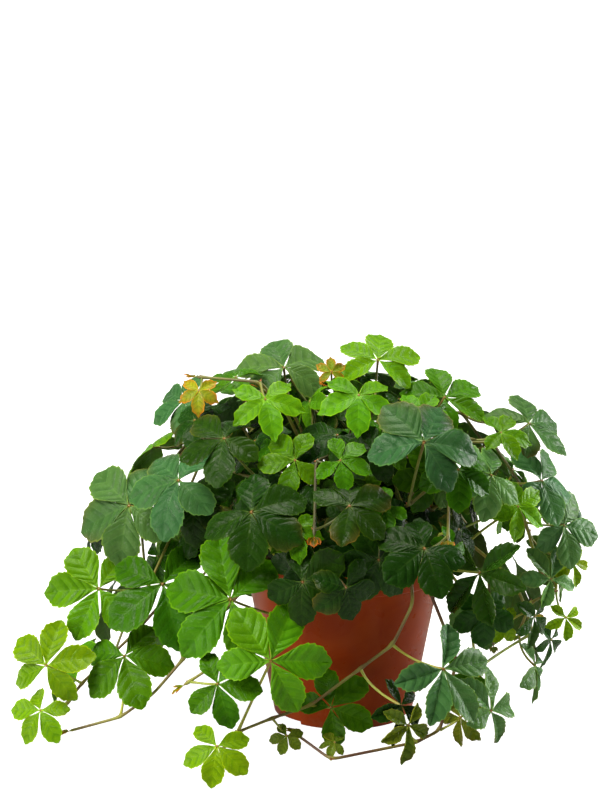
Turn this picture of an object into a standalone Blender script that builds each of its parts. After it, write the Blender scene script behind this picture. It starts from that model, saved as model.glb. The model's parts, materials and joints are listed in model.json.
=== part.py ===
"""A potted miniature grape ivy: a moulded pot, its soil, and leafy shoots that arch over the rim and trail.

Lengths are metres, +Z is up and -Y is the side that the plant is seen from. The origin is the middle of the
pot's base. Every shoot is one fused body: a stem that turns a little at each leaf, its petioles, and
hand-shaped leaves of five leaflets.
"""

import math
import random
from collections import namedtuple

import bmesh
import bpy
from mathutils import Vector
from mathutils.bvhtree import BVHTree

MM = 0.001

# The pot, a 13 cm nursery size
POT_HEIGHT = 100 * MM
RIM_RADIUS = 65 * MM
BASE_RADIUS = 42 * MM
WALL = 1.6 * MM
WALL_SLOPE = 0.19
COLLAR_HEIGHT = 16 * MM
COLLAR_STEP = 3.2 * MM
LIP = 0.5 * MM
POT_SIDES = 40
DRAIN_COUNT = 6
DRAIN_WIDTH = 19 * MM
DRAIN_HEIGHT = 2.2 * MM
DRAIN_DEPTH = 9 * MM
DRAIN_TURN = -81
SHARP_EDGE = 30

# The soil
SOIL_TOP = 88 * MM
SOIL_DOME = 3 * MM
SOIL_SIDES = 16
SOIL_RINGS = 3
SOIL_GRAIN = 0.9 * MM
SOIL_GAP = 1.6
ROOT_DEPTH = 15 * MM
CLEARANCE = 0.35 * MM

# Stems and petioles
STEM_BASE_RADIUS = 1.45 * MM
STEM_TIP_RADIUS = 0.95 * MM
STEM_SIDES = 3
STEM_STEPS = 2
STEM_TIP = 4 * MM
COLLAR_OF_AIR = 2.5 * MM
LOWEST_STEM = 1.8 * MM
RIM_CLEARANCE = 9 * MM
RISE_SHARE = 0.32
RISE_HEIGHT = 14 * MM
RISE_CLIMB = 0.5
PETIOLE_RADIUS = 0.62 * MM
PETIOLE_SIDES = 3
PETIOLE_RATIO = 1.05
PETIOLE_BACK = 0.45
PETIOLE_ALONG = 0.75
PETIOLE_BEND = 0.16
PETIOLE_BEND_AT = 0.45

# Leaves: an outline gives the right half of a leaflet of length 1, from the rib outwards
BLADE = 0.8 * MM
LOWEST_LEAF = 0.5 * MM
LEAFLET_TURNS = (-124, -62, 0, 62, 124)
LEAFLET_LENGTHS = (0.84, 0.97, 1.0, 0.97, 0.84)
FULL_OUTLINE = ((0.41, 0.21), (0.78, 0.285), (1.0, 0.0))
PLAIN_OUTLINE = ((0.64, 0.31), (1.0, 0.0))
FULL_LENGTH = 25 * MM
NOTCH = 0.11
LEAST_NOTCH = 1.3 * MM
LENGTH_PLAY = (0.95, 1.07)
VIEW_TILT = 13

# Leaf forms: how wide the leaflets are, how they fold at the rib, droop and roll, and how unevenly they turn
Form = namedtuple("Form", "width fold droop roll turn")
FORMS = {
    "spread": Form(1.0, 0.12, (0.10, 0.46), 0.15, 4),
    "folded": Form(0.70, 0.50, (0.08, 0.26), 0.12, 9),
    "pointed": Form(0.88, 0.16, (0.10, 0.34), 0.12, 5)}

# How a piece is moved clear of what already stands: the space it keeps, and how far it may stray
CLEAR_SKIN = 1.2 * MM
CLEAR_GROWTH = 1.03
STEM_SKIN = 0.7 * MM
TRIES = 700
STRAY = 17 * MM
STRAY_TURN = 42
LEAST_LENGTH = 0.84
STEM_STRAY = 12 * MM
EASY_TURN = 0.2
SHARPEST_TURN = -0.2
LEAST_STEP = 3 * MM
EASING = 14
EASE = 0.2

Leaf = namedtuple("Leaf", "across depth height length pan tilt spin tone form", defaults=("spread",))
Pass = namedtuple("Pass", "across depth height")
Blade = namedtuple("Blade", "place normal along side length leaflets tone")
Leaflet = namedtuple("Leaflet", "turn length width fold droop roll")

# Each shoot is its hole in the soil, then in order the points that its stem passes and its leaves. A leaf
# right after a point grows from that point, and any other leaf from a node behind it. A leaf is the place of
# its centre and the length of its middle leaflet in millimetres, then in degrees the way that its face is
# panned to the right and tilted up, and the way that its middle leaflet points, seen from the front and
# anticlockwise. Its tone and its form follow.
SHOOTS = {
    "left_runner": ((-30, -14), (
        Leaf(-59, -60, 104, 14, 0, 30, 90, "bright"),
        Pass(-81, -52, 64),
        Pass(-94, -52, 46),
        Leaf(-106, -50, 90, 38, -5, 25, 281, "mid"),
        Pass(-111, -58, 27),
        Pass(-130, -61, 14),
        Leaf(-126, -48, 43, 32, -10, 30, 280, "fresh"),
        Pass(-156, -62, 7))),
    "left_far": ((-38, -16), (
        Pass(-88, -30, 96),
        Pass(-122, -34, 58),
        Pass(-154, -44, 29),
        Leaf(-173, -55, 43, 28, -20, 25, 80, "bright"),
        Pass(-161, -50, 20),
        Leaf(-175, -68, 15, 20, -20, 40, 245, "bright"))),
    "left_arch": ((-38, -4), (
        Leaf(-96, -45, 150, 32, -28, 44, 186, "sage"),
        Leaf(-127, -20, 130, 36, -18, 32, 197, "sage"),
        Leaf(-146, -35, 84, 34, -15, 25, 184, "fresh"))),
    "front_left": ((-18, -30), (
        Pass(-34, -84, 116),
        Leaf(-53, -95, 142, 31, -8, 46, 321, "deep"),
        Leaf(-65, -88, 91, 39, -5, 25, 165, "fresh"),
        Leaf(-72, -100, 46, 24, -10, 25, 350, "fresh"))),
    "front_runner": ((22, -30), (
        Pass(40, -80, 112),
        Pass(37, -82, 87),
        Pass(26, -78, 62),
        Leaf(52, -95, 54, 34, 32, 28, 315, "sage", "folded"),
        Pass(8, -74, 47),
        Leaf(30, -94, 32, 21, 50, 10, 250, "deep", "folded"),
        Pass(-20, -73, 25),
        Leaf(-13, -80, 29, 27, 0, 30, 43, "mid"),
        Pass(-42, -84, 21),
        Leaf(-33, -84, 10, 11, 0, 40, 250, "olive"),
        Pass(-61, -96, 17),
        Leaf(-44, -108, 61, 36, 0, 25, 66, "fresh"),
        Pass(-66, -108, 14),
        Leaf(-71, -132, 15, 20, -5, 40, 262, "bright"))),
    "front_right": ((8, -36), (
        Pass(50, -82, 108),
        Pass(54, -78, 60),
        Pass(48, -72, 14),
        Leaf(62, -80, 17, 18, -40, 10, 250, "olive", "folded"),
        Pass(34, -80, 5),
        Leaf(33, -97, 12, 21, 52, 15, 280, "olive", "folded"),
        Pass(-3, -96, 3),
        Leaf(-9, -92, 9, 9, 0, 60, 180, "olive"),
        Pass(-21, -86, 3))),
    "front_crown": ((2, -22), (
        Leaf(7, -55, 201, 25, 5, 48, 268, "lime", "pointed"),
        Leaf(-4, -85, 169, 18, 0, 40, 340, "mid"),
        Leaf(1, -105, 148, 26, 8, 48, 30, "deep"))),
    "front_face": ((-6, -38), (
        Leaf(-26, -100, 136, 18, 0, 30, 280, "fresh", "pointed"),
        Leaf(-24, -105, 105, 26, -12, 8, 330, "deep"),
        Leaf(-4, -108, 102, 22, 10, 2, 290, "deep"))),
    "front_heart": ((-2, -7), (
        Leaf(-29, -68, 166, 22, -5, 30, 190, "fresh"),
        Leaf(-32, -74, 141, 25, -25, 18, 240, "deep"),
        Leaf(-48, -80, 114, 25, -28, 5, 250, "deep"))),
    "front_apron": ((14, -47), (
        Leaf(24, -76, 136, 25, 20, 12, 280, "deep"),
        Leaf(17, -98, 116, 25, 14, 3, 250, "deep"))),
    "right_face": ((26, -14), (
        Leaf(42, -85, 179, 33, 10, 40, 65, "sage"),
        Leaf(62, -75, 162, 23, 10, 30, 265, "mid"),
        Leaf(46, -66, 151, 24, 15, 30, 200, "mid"),
        Leaf(40, -115, 127, 28, 5, 42, 226, "deep"))),
    "right_low": ((36, -20), (
        Pass(62, -58, 106),
        Leaf(75, -75, 103, 31, -45, 15, 280, "deep", "folded"),
        Pass(70, -54, 84),
        Pass(76, -52, 40),
        Leaf(80, -75, 20, 28, 48, 15, 60, "sage", "folded"))),
    "right_trail": ((38, -6), (
        Leaf(82, -60, 156, 26, 30, 30, 200, "sage"),
        Leaf(116, -20, 145, 27, 38, 30, 0, "sage"),
        Leaf(131, -10, 116, 26, 30, 20, 350, "sage"),
        Pass(120, -14, 84),
        Leaf(76, -60, 77, 20, 20, 10, 270, "deep"),
        Leaf(123, -20, 87, 22, 30, 20, 120, "sage", "folded"),
        Leaf(138, -4, 92, 15, 35, 10, 285, "bright", "folded"),
        Leaf(132, -20, 62, 14, 30, 10, 270, "bright", "folded"),
        Leaf(112, -32, 66, 20, 55, 0, 275, "deep", "folded"),
        Leaf(115, -15, 31, 23, 70, 5, 262, "sage", "folded"))),
    "right_drop": ((34, 6), (
        Leaf(100, -40, 132, 21, 30, 30, 330, "fresh", "pointed"),
        Pass(100, -22, 86),
        Pass(109, -20, 66),
        Leaf(94, -34, 62, 13, 10, 20, 180, "bright"),
        Pass(112, -20, 37),
        Leaf(72, -62, 42, 18, 20, 20, 200, "mid", "folded"),
        Leaf(124, -2, 39, 18, 50, 0, 270, "deep", "folded"))),
    "right_crown": ((18, 4), (
        Leaf(59, -10, 193, 28, 20, 45, 40, "mid"),
        Leaf(108, -20, 179, 27, 35, 45, 30, "sage"),
        Leaf(134, 0, 126, 18, 30, 30, 20, "sage"))),
    "bright_crown": ((12, -8), (
        Leaf(43, -30, 187, 20, 10, 50, 60, "fresh", "pointed"),
        Leaf(89, -40, 177, 20, 20, 50, 0, "fresh", "pointed"))),
    "top": ((4, 8), (
        Leaf(20, 0, 214, 27, 5, 55, 85, "lime"),
        Leaf(-8, -30, 211, 10, 0, 30, 90, "bronze", "pointed"))),
    "left_crown": ((-10, -10), (
        Leaf(-46, -50, 198, 24, 0, 40, 279, "lime", "pointed"),
        Leaf(-85, -30, 200, 14, -10, 30, 270, "bronze", "pointed"))),
    "left_top": ((-14, 6), (
        Leaf(-36, 10, 208, 31, 0, 55, 100, "sage"),
        Leaf(-64, -10, 205, 21, -30, 70, 150, "mid"))),
    "left_face": ((-24, -26), (
        Leaf(-69, -60, 177, 27, -20, 50, 200, "deep"),
        Leaf(-85, -40, 140, 25, -30, 20, 260, "deep"))),
    "left_side": ((-28, 4), (
        Leaf(-88, -20, 181, 19, -40, 40, 200, "deep"),
        Leaf(-97, 0, 192, 24, -40, 45, 200, "sage"),
        Leaf(-111, -10, 97, 18, -50, 10, 270, "mid"))),
}

# Shoots hidden from the front follow a rule. Each takes one of these descents round the back, or fills the
# middle of the crown: the reach of each leaf from the axis and its height in millimetres, and its tilt.
HIDDEN = "hidden"
BACK_COUNT = 8
BACK_FROM = 22
BACK_TO = 166
BACK_HOLES = 34
BACK_DESCENTS = (
    ((58, 196, 58), (98, 172, 46), (126, 132, 30), (138, 88, 20)),
    ((74, 186, 52), (112, 152, 38), (134, 110, 25), (138, 62, 22), (150, 20, 38)))
FILL_COUNT = 6
FILL_HOLES = 47
FILL_TURN = 15
FILL_CLIMB = ((48, 168, 56), (72, 142, 38), (82, 112, 24))
RULE_SWAY = (6, 11)
RULE_LENGTHS = (23, 32)
RULE_LIFT = 5
RULE_TILT = 8
RULE_SPIN = 50
PLANT_MIDDLE = -8
PLANT_WIDTH = 1.06

TONES = {
    "bright": (0.20, 0.36, 0.035),
    "lime": (0.14, 0.32, 0.03),
    "fresh": (0.10, 0.26, 0.03),
    "mid": (0.055, 0.17, 0.03),
    "sage": (0.06, 0.14, 0.045),
    "deep": (0.025, 0.095, 0.03),
    "bronze": (0.32, 0.20, 0.03),
    "olive": (0.12, 0.15, 0.03),
    HIDDEN: (0.04, 0.13, 0.03)}
LEAF_ROUGHNESS, PLASTIC_ROUGHNESS, PEAT_ROUGHNESS = 0.4, 0.42, 0.95
SEED = 10
TERRACOTTA = (0.34, 0.07, 0.035)
PEAT = (0.028, 0.018, 0.012)


def material(name, colour, roughness):
    made = bpy.data.materials.new(name)
    made.use_nodes = True
    shader = made.node_tree.nodes["Principled BSDF"]
    shader.inputs["Base Color"].default_value = (*colour, 1)
    shader.inputs["Roughness"].default_value = roughness
    return made


def solid_object(name, solid, collection=None):
    """An object of the closed solid, with its faces turned outwards."""
    mesh = bpy.data.meshes.new(name)
    mesh.from_pydata([tuple(p) for p in solid[0]], [], solid[1])
    bm = bmesh.new()
    bm.from_mesh(mesh)
    bmesh.ops.recalc_face_normals(bm, faces=bm.faces)
    bmesh.ops.triangulate(bm, faces=bm.faces)
    bm.to_mesh(mesh)
    bm.free()
    made = bpy.data.objects.new(name, mesh)
    (collection or bpy.context.scene.collection).objects.link(made)
    return made


def evaluated(thing):
    graph = bpy.context.evaluated_depsgraph_get()
    return bpy.data.meshes.new_from_object(thing.evaluated_get(graph))


def is_closed(mesh):
    bm = bmesh.new()
    bm.from_mesh(mesh)
    closed = all(edge.is_manifold for edge in bm.edges)
    bm.free()
    return closed


def combine(base, others, operation):
    """One Boolean of the base with every other object, applied, with the others then removed."""
    pieces = bpy.data.collections.new("pieces")
    bpy.context.scene.collection.children.link(pieces)
    for other in others:
        bpy.context.scene.collection.objects.unlink(other)
        pieces.objects.link(other)
    boolean = base.modifiers.new(operation.lower(), "BOOLEAN")
    boolean.operation = operation
    boolean.operand_type = "COLLECTION"
    boolean.collection = pieces
    mesh = evaluated(base)
    if not is_closed(mesh):
        boolean.solver = "MANIFOLD"
        mesh = evaluated(base)
    base.modifiers.clear()
    base.data = mesh
    for other in list(pieces.objects):
        bpy.data.objects.remove(other)
    bpy.data.collections.remove(pieces)


def smooth_path(points, steps):
    """A Catmull-Rom curve from the second point to the last but one, in so many steps between each two."""
    path = []
    for before, start, end, after in zip(points, points[1:], points[2:], points[3:]):
        for step in range(steps):
            t = step / steps
            path.append(0.5 * (2 * start + (end - before) * t
                               + (2 * before - 5 * start + 4 * end - after) * t ** 2
                               + (3 * start - before - 3 * end + after) * t ** 3))
    return path + [points[-2]]


def tube(path, radii, sides, first_way=None):
    """A closed tube along the path. Its first ring may face another way than the path does."""
    points, faces = [], []
    across = Vector((1, 1, 0))
    for index, centre in enumerate(path):
        ahead = path[min(index + 1, len(path) - 1)] - path[max(index - 1, 0)]
        if first_way and not index:
            ahead = first_way
        ahead = ahead.normalized()
        if abs(ahead.dot(across.normalized())) > 0.98:
            across = Vector((0, 0, 1))
        across = (across - ahead * across.dot(ahead)).normalized()
        other = ahead.cross(across)
        for side in range(sides):
            turn = math.tau * side / sides
            points.append(centre + (across * math.cos(turn) + other * math.sin(turn)) * radii[index])
    for ring in range(len(path) - 1):
        for side in range(sides):
            low, after = ring * sides + side, ring * sides + (side + 1) % sides
            faces.append((low, after, after + sides, low + sides))
    faces.append(tuple(range(sides)))
    faces.append(tuple(range(len(points) - sides, len(points))))
    return points, faces


def blade_of(leaf, rng):
    """A leaf of the table as a blade in space, with its five leaflets each a little different."""
    pan, tilt, spin = math.radians(leaf.pan), math.radians(leaf.tilt), math.radians(leaf.spin)
    normal = Vector((math.sin(pan) * math.cos(tilt), -math.cos(pan) * math.cos(tilt), math.sin(tilt)))
    view = math.radians(VIEW_TILT)
    upward = Vector((0, math.sin(view), math.cos(view)))
    pointing = Vector((1, 0, 0)) * math.cos(spin) + upward * math.sin(spin)
    along = (pointing - normal * pointing.dot(normal)).normalized()
    form = FORMS[leaf.form]
    leaflets = [Leaflet(turn + rng.uniform(-form.turn, form.turn), share * rng.uniform(*LENGTH_PLAY),
                        form.width, form.fold, rng.uniform(*form.droop), rng.uniform(-form.roll, form.roll))
                for turn, share in zip(LEAFLET_TURNS, LEAFLET_LENGTHS)]
    place = Vector((leaf.across, leaf.depth, leaf.height)) * MM
    return Blade(place, normal, along, normal.cross(along), leaf.length * MM, leaflets, leaf.tone)


def leaflet_edge(blade, index):
    """A leaflet's outline from its right side to its left, as distances along its rib and across it."""
    full = blade.length >= FULL_LENGTH and blade.tone != HIDDEN and 0 < index < len(blade.leaflets) - 1
    half = FULL_OUTLINE if full else PLAIN_OUTLINE
    left = [(forward, wide) for forward, wide in reversed(half) if wide]
    return [(forward, -wide) for forward, wide in half] + left


def blade_outline(blade, grown=1.0):
    """The blade's outline anticlockwise on its middle surface. Each leaflet is cut nearly to the rib."""
    points = []
    notch = max(NOTCH, LEAST_NOTCH / blade.length)

    def add(turn, forward, sideways, height):
        turn = math.radians(turn)
        ahead = forward * math.cos(turn) - sideways * math.sin(turn)
        left = forward * math.sin(turn) + sideways * math.cos(turn)
        place = blade.along * ahead + blade.side * left + blade.normal * height
        points.append(blade.place + place * blade.length * grown)

    for index, leaflet in enumerate(blade.leaflets):
        for forward, sideways in leaflet_edge(blade, index):
            sideways *= leaflet.width
            height = leaflet.fold * abs(sideways) + leaflet.roll * sideways - leaflet.droop * forward ** 2
            add(leaflet.turn, forward * leaflet.length, sideways * leaflet.length, height)
        if index + 1 < len(blade.leaflets):
            add((leaflet.turn + blade.leaflets[index + 1].turn) / 2, notch, 0, 0)
    add(180, notch, 0, 0)
    return points


def thick_blade(blade):
    """A closed, thickened blade with no petiole, for testing what it would meet."""
    outline = blade_outline(blade, CLEAR_GROWTH)
    count = len(outline)
    lift = blade.normal * CLEAR_SKIN
    points = [p + lift for p in outline] + [p - lift for p in outline]
    points += [blade.place + lift, blade.place - lift]
    faces = []
    for i in range(count):
        after = (i + 1) % count
        faces += [(2 * count, i, after), (2 * count + 1, count + after, count + i)]
        faces += [(i, count + i, count + after), (i, count + after, after)]
    return points, faces


def petiole_path(blade, root):
    """The petiole's middle line, from behind the blade to its root in the stem."""
    start = blade.place - blade.normal * BLADE / 2
    bend = start.lerp(root, PETIOLE_BEND_AT) - blade.normal * (start - root).length * PETIOLE_BEND
    return [start, bend, root]


def leaf_solid(blade, root):
    """The blade and its petiole as one closed body."""
    outline = blade_outline(blade)
    count = len(outline)
    lift = blade.normal * BLADE / 2
    points = [p + lift for p in outline] + [p - lift for p in outline] + [blade.place + lift]
    faces = []
    for i in range(count):
        after = (i + 1) % count
        faces += [(2 * count, i, after), (i, count + i, count + after), (i, count + after, after)]
    path = petiole_path(blade, root)
    stalk, stalk_faces = tube(path, [PETIOLE_RADIUS] * 3, PETIOLE_SIDES, -blade.normal)
    first = len(points)
    points += stalk
    faces += [tuple(first + corner for corner in face) for face in stalk_faces[:-2] + stalk_faces[-1:]]
    nearest = [min(range(PETIOLE_SIDES), key=lambda k: (stalk[k] - p).length_squared) for p in outline]
    for i in range(count):
        after = (i + 1) % count
        here, there = first + nearest[i], first + nearest[after]
        faces.append((here, count + after, count + i))
        if here != there:
            faces.append((here, there, count + after))
    return points, faces


class Standing:
    """What already stands, so that the next piece can be moved clear of it."""

    def __init__(self):
        self.pieces = []

    def add(self, solid, name=None):
        self.pieces.append((*self.ball(solid), BVHTree.FromPolygons(*solid), name))

    def meets(self, solid, besides="nothing"):
        """Whether the solid crosses a piece that stands, apart from those of one name."""
        centre, radius = self.ball(solid)
        near = [tree for other, reach, tree, name in self.pieces
                if name != besides and (centre - other).length < radius + reach]
        if not near:
            return False
        probe = BVHTree.FromPolygons(*solid)
        return any(probe.overlap(tree) for tree in near)

    @staticmethod
    def ball(solid):
        centre = sum(solid[0], Vector()) / len(solid[0])
        return centre, max((p - centre).length for p in solid[0])


def place_of(item):
    return Vector((item.across, item.depth, item.height)) * MM


def root_of(leaf, rng):
    """Where a leaf leaves its stem: behind the blade, on the side away from its middle leaflet."""
    blade = blade_of(leaf, rng)
    back = blade.along * PETIOLE_ALONG + blade.normal * PETIOLE_BACK
    return blade.place - back * blade.length * PETIOLE_RATIO


def sharpest(path):
    """The cosine of the sharpest turn along the path."""
    ways = [(after - before).normalized() for before, after in zip(path, path[1:])]
    return min(one.dot(other) for one, other in zip(ways, ways[1:]))


def eased(hole, route):
    """The route with each point that makes a sharp turn drawn in towards its neighbours."""
    route = [Vector((hole[0] * MM, hole[1] * MM, SOIL_TOP)), *route]
    for _ in range(EASING):
        for i in range(1, len(route) - 1):
            if sharpest(route[i - 1:i + 2]) < EASY_TURN:
                route[i] = route[i].lerp((route[i - 1] + route[i + 1]) / 2, EASE)
    return route[1:]


def route_of(items, rng):
    """The points that a stem passes, the leaves, and the number of the point that each leaf grows from."""
    route, leaves, nodes = [], [], []
    for item, before in zip(items, (None, *items)):
        if isinstance(item, Pass):
            route.append(place_of(item))
            continue
        if not isinstance(before, Pass):
            route.append(root_of(item, rng))
        leaves.append(item)
        nodes.append(len(route) - 1)
    return route, leaves, nodes


def over_rim(route):
    """The route with a point added above the rim wherever it would pass too low over it."""
    clear = POT_HEIGHT + RIM_CLEARANCE
    full = route[:1]
    for before, after in zip(route, route[1:]):
        near, far = math.hypot(before.x, before.y), math.hypot(after.x, after.y)
        if near < RIM_RADIUS < far:
            if before.lerp(after, (RIM_RADIUS - near) / (far - near)).z < clear:
                crossing = after * ((RIM_RADIUS + COLLAR_OF_AIR) / far)
                full.append(Vector((crossing.x, crossing.y, clear)))
        full.append(after)
    return full


def stem_path(hole, route):
    """A stem's middle line: straight out of its hole, in a curve to its first point, then point to point."""
    stand = Vector((hole[0] * MM, hole[1] * MM, SOIL_TOP - ROOT_DEPTH))
    air = Vector((stand.x, stand.y, SOIL_TOP + SOIL_DOME + COLLAR_OF_AIR))
    rise = air.lerp(route[0], RISE_SHARE)
    rise.z = SOIL_TOP + RISE_CLIMB * max(route[0].z - SOIL_TOP, 0) + RISE_HEIGHT
    tip = route[-1] + (route[-1] - (route[-2] if len(route) > 1 else rise)).normalized() * STEM_TIP
    tip.z = max(tip.z, LOWEST_STEM)
    straight = over_rim(route)[1:] + [tip]
    bend = smooth_path([stand, air, *over_rim([rise, route[0]]), straight[0]], STEM_STEPS)
    return [stand] + bend + straight


def stem_solid(path, skin=0.0):
    last = len(path) - 1
    thinner = STEM_BASE_RADIUS - STEM_TIP_RADIUS
    return tube(path, [STEM_BASE_RADIUS - thinner * i / last + skin for i in range(last + 1)], STEM_SIDES)


def shaken(point, reach, rng):
    return point + Vector([rng.uniform(-reach, reach) for _ in range(3)])


def settle_stem(hole, route, standing, rng):
    """The stem's line and its route, moved as little as keeps it clear of what stands."""
    for attempt in range(TRIES):
        reach = STEM_STRAY * attempt / TRIES
        tried = [shaken(p, reach, rng) for p in route]
        for point in tried:
            point.z = max(point.z, LOWEST_STEM)
        tried = eased(hole, tried)
        path = stem_path(hole, tried)
        least = min((after - before).length for before, after in zip(path, path[1:]))
        plain = sharpest(path) > SHARPEST_TURN and least > LEAST_STEP
        if plain and not standing.meets(stem_solid(path[1:], STEM_SKIN)):
            return path, tried
    print("no clear way for the stem at", hole)
    return path, tried


def settle_leaf(leaf, root, stem, standing, rng):
    """The leaf's blade, moved and turned as little as keeps it and its petiole clear of what stands."""
    first = blade_of(leaf, rng)
    for attempt in range(TRIES):
        share = attempt / TRIES
        reach, turn = STRAY * share / MM, STRAY_TURN * share
        tried = leaf._replace(
            across=leaf.across + rng.uniform(-reach, reach), depth=leaf.depth + rng.uniform(-reach, reach),
            height=leaf.height + rng.uniform(-reach, reach), pan=leaf.pan + rng.uniform(-turn, turn),
            tilt=leaf.tilt + rng.uniform(-turn, turn), spin=leaf.spin + rng.uniform(-turn, turn),
            length=leaf.length * (1 - (1 - LEAST_LENGTH) * share))
        blade = blade_of(tried, rng)._replace(leaflets=first.leaflets)
        lowest = min(p.z for p in blade_outline(blade)) - BLADE / 2
        if lowest < LOWEST_LEAF:
            blade = blade._replace(place=blade.place + Vector((0, 0, LOWEST_LEAF - lowest)))
        stalk = tube(petiole_path(blade, root), [PETIOLE_RADIUS + STEM_SKIN] * 3, PETIOLE_SIDES)
        if not standing.meets(thick_blade(blade)) and not standing.meets(stalk, stem):
            return blade
    print("no clear place for the leaf at", leaf.across, leaf.depth, leaf.height)
    return None


def rule_shoots(rng):
    """The shoots that follow a rule: round the back, then in the middle of the crown."""
    made = {}

    def add(name, turn, holes, descent, tone):
        leaves = []
        for index, (reach, height, tilt) in enumerate(descent):
            way = turn + rng.uniform(*RULE_SWAY) * (-1) ** index
            across = PLANT_MIDDLE + PLANT_WIDTH * reach * math.cos(math.radians(way))
            depth = reach * math.sin(math.radians(way))
            height += rng.uniform(-RULE_LIFT, RULE_LIFT)
            tilt += rng.uniform(-RULE_TILT, RULE_TILT)
            spin = 270 + rng.uniform(-RULE_SPIN, RULE_SPIN)
            leaves.append(Leaf(across, depth, height, rng.uniform(*RULE_LENGTHS), way + 90, tilt, spin, tone))
        hole = [holes * math.cos(math.radians(turn)), holes * math.sin(math.radians(turn))]
        made[name] = (hole, tuple(leaves))

    for number in range(BACK_COUNT):
        turn = BACK_FROM + (BACK_TO - BACK_FROM) * number / (BACK_COUNT - 1)
        add(f"back_{number + 1}", turn, BACK_HOLES, BACK_DESCENTS[number % 2], HIDDEN)
    for number in range(FILL_COUNT):
        turn = FILL_TURN + 360 * number / FILL_COUNT
        add(f"inner_{number + 1}", turn, FILL_HOLES, FILL_CLIMB, HIDDEN)
    return made


def turned(profile, sides):
    """A closed body turned from a profile that starts and ends on the axis."""
    points = [Vector((0, 0, profile[0][1])), Vector((0, 0, profile[-1][1]))]
    rings = profile[1:-1]
    for radius, height in rings:
        for side in range(sides):
            turn = math.tau * (side + 0.5) / sides
            points.append(Vector((radius * math.cos(turn), radius * math.sin(turn), height)))
    faces = []
    for side in range(sides):
        after = (side + 1) % sides
        faces.append((0, 2 + side, 2 + after))
        last = 2 + (len(rings) - 1) * sides
        faces.append((1, last + after, last + side))
        for ring in range(len(rings) - 1):
            low = 2 + ring * sides
            faces.append((low + side, low + after, low + sides + after, low + sides + side))
    return points, faces


def wall_radius(height):
    return BASE_RADIUS + WALL_SLOPE * height


def pot_solid():
    """The pot's wall, its stepped collar and its floor, as one turned shell."""
    step = POT_HEIGHT - COLLAR_HEIGHT
    shoulder = wall_radius(step)
    collar = shoulder + COLLAR_STEP
    return turned((
        (0, 0), (BASE_RADIUS, 0), (shoulder, step), (collar, step + LIP),
        (RIM_RADIUS, POT_HEIGHT), (RIM_RADIUS - WALL, POT_HEIGHT), (collar - WALL, step + WALL + LIP),
        (shoulder - WALL, step + WALL),
        (wall_radius(WALL) - WALL, WALL), (0, WALL)), POT_SIDES)


def add_pot(standing):
    pot = solid_object("pot", pot_solid())
    cutters = []
    for number in range(DRAIN_COUNT):
        turn = math.radians(DRAIN_TURN + 360 * number / DRAIN_COUNT)
        out, over = Vector((math.cos(turn), math.sin(turn), 0)), Vector((-math.sin(turn), math.cos(turn), 0))
        corners = []
        for height in (-DRAIN_HEIGHT, DRAIN_HEIGHT):
            for reach, width in ((-DRAIN_DEPTH, -1), (DRAIN_DEPTH, -1), (DRAIN_DEPTH, 1), (-DRAIN_DEPTH, 1)):
                corner = out * (BASE_RADIUS + reach) + over * (width * DRAIN_WIDTH / 2)
                corners.append(corner + Vector((0, 0, height)))
        faces = [(0, 1, 2, 3), (4, 5, 6, 7)] + [(i, (i + 1) % 4, (i + 1) % 4 + 4, i + 4) for i in range(4)]
        cutters.append(solid_object("drain", (corners, faces)))
    combine(pot, cutters, "DIFFERENCE")
    pot.data.materials.clear()
    pot.data.materials.append(material("moulded_plastic", TERRACOTTA, PLASTIC_ROUGHNESS))
    pot.data.shade_smooth()
    pot.data.set_sharp_from_angle(angle=math.radians(SHARP_EDGE))
    standing.add(pot_solid())


def add_soil(holes, standing, rng):
    """The root ball that fills the pot, with a grainy domed top and a hole for each stem."""
    ledge = POT_HEIGHT - COLLAR_HEIGHT + WALL
    low = WALL + CLEARANCE
    gap = WALL + CLEARANCE * SOIL_GAP
    neck = wall_radius(POT_HEIGHT - COLLAR_HEIGHT) - gap
    edge = neck + COLLAR_STEP
    rings = [(edge * (1 - i / SOIL_RINGS), SOIL_TOP + SOIL_DOME * math.sin(math.pi / 2 * i / SOIL_RINGS))
             for i in range(SOIL_RINGS)]
    profile = [(0, low), (wall_radius(low) - gap, low), (neck, ledge + CLEARANCE),
               (edge, ledge + LIP + CLEARANCE), *rings, (0, SOIL_TOP + SOIL_DOME)]
    points, faces = turned(profile, SOIL_SIDES)
    inner = 2 + 4 * SOIL_SIDES
    for index in range(inner, len(points)):
        points[index].z += rng.uniform(-SOIL_GRAIN, SOIL_GRAIN)
    soil = solid_object("soil", (points, faces))
    width = STEM_BASE_RADIUS + CLEARANCE / math.cos(math.pi / STEM_SIDES)
    floor = SOIL_TOP - ROOT_DEPTH - CLEARANCE
    cutters = []
    for x, y in holes:
        path = [Vector((x * MM, y * MM, floor)), Vector((x * MM, y * MM, POT_HEIGHT + SOIL_DOME))]
        cutters.append(solid_object("hole", tube(path, [width] * 2, STEM_SIDES)))
    standing.add((points, faces))
    combine(soil, cutters, "DIFFERENCE")
    soil.data.materials.clear()
    soil.data.materials.append(material("peat", PEAT, PEAT_ROUGHNESS))


def add_shoot(name, path, blades, roots):
    solids = [stem_solid(path)] + [leaf_solid(blade, root) for blade, root in zip(blades, roots) if blade]
    stem = solid_object(name, solids[0])
    combine(stem, [solid_object("leaf", solid) for solid in solids[1:]], "UNION")
    tone = next(blade.tone for blade in blades if blade)
    stem.data.materials.clear()
    leaf_name = f"leaf_{tone}"
    stem.data.materials.append(
        bpy.data.materials.get(leaf_name) or material(leaf_name, TONES[tone], LEAF_ROUGHNESS))


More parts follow.
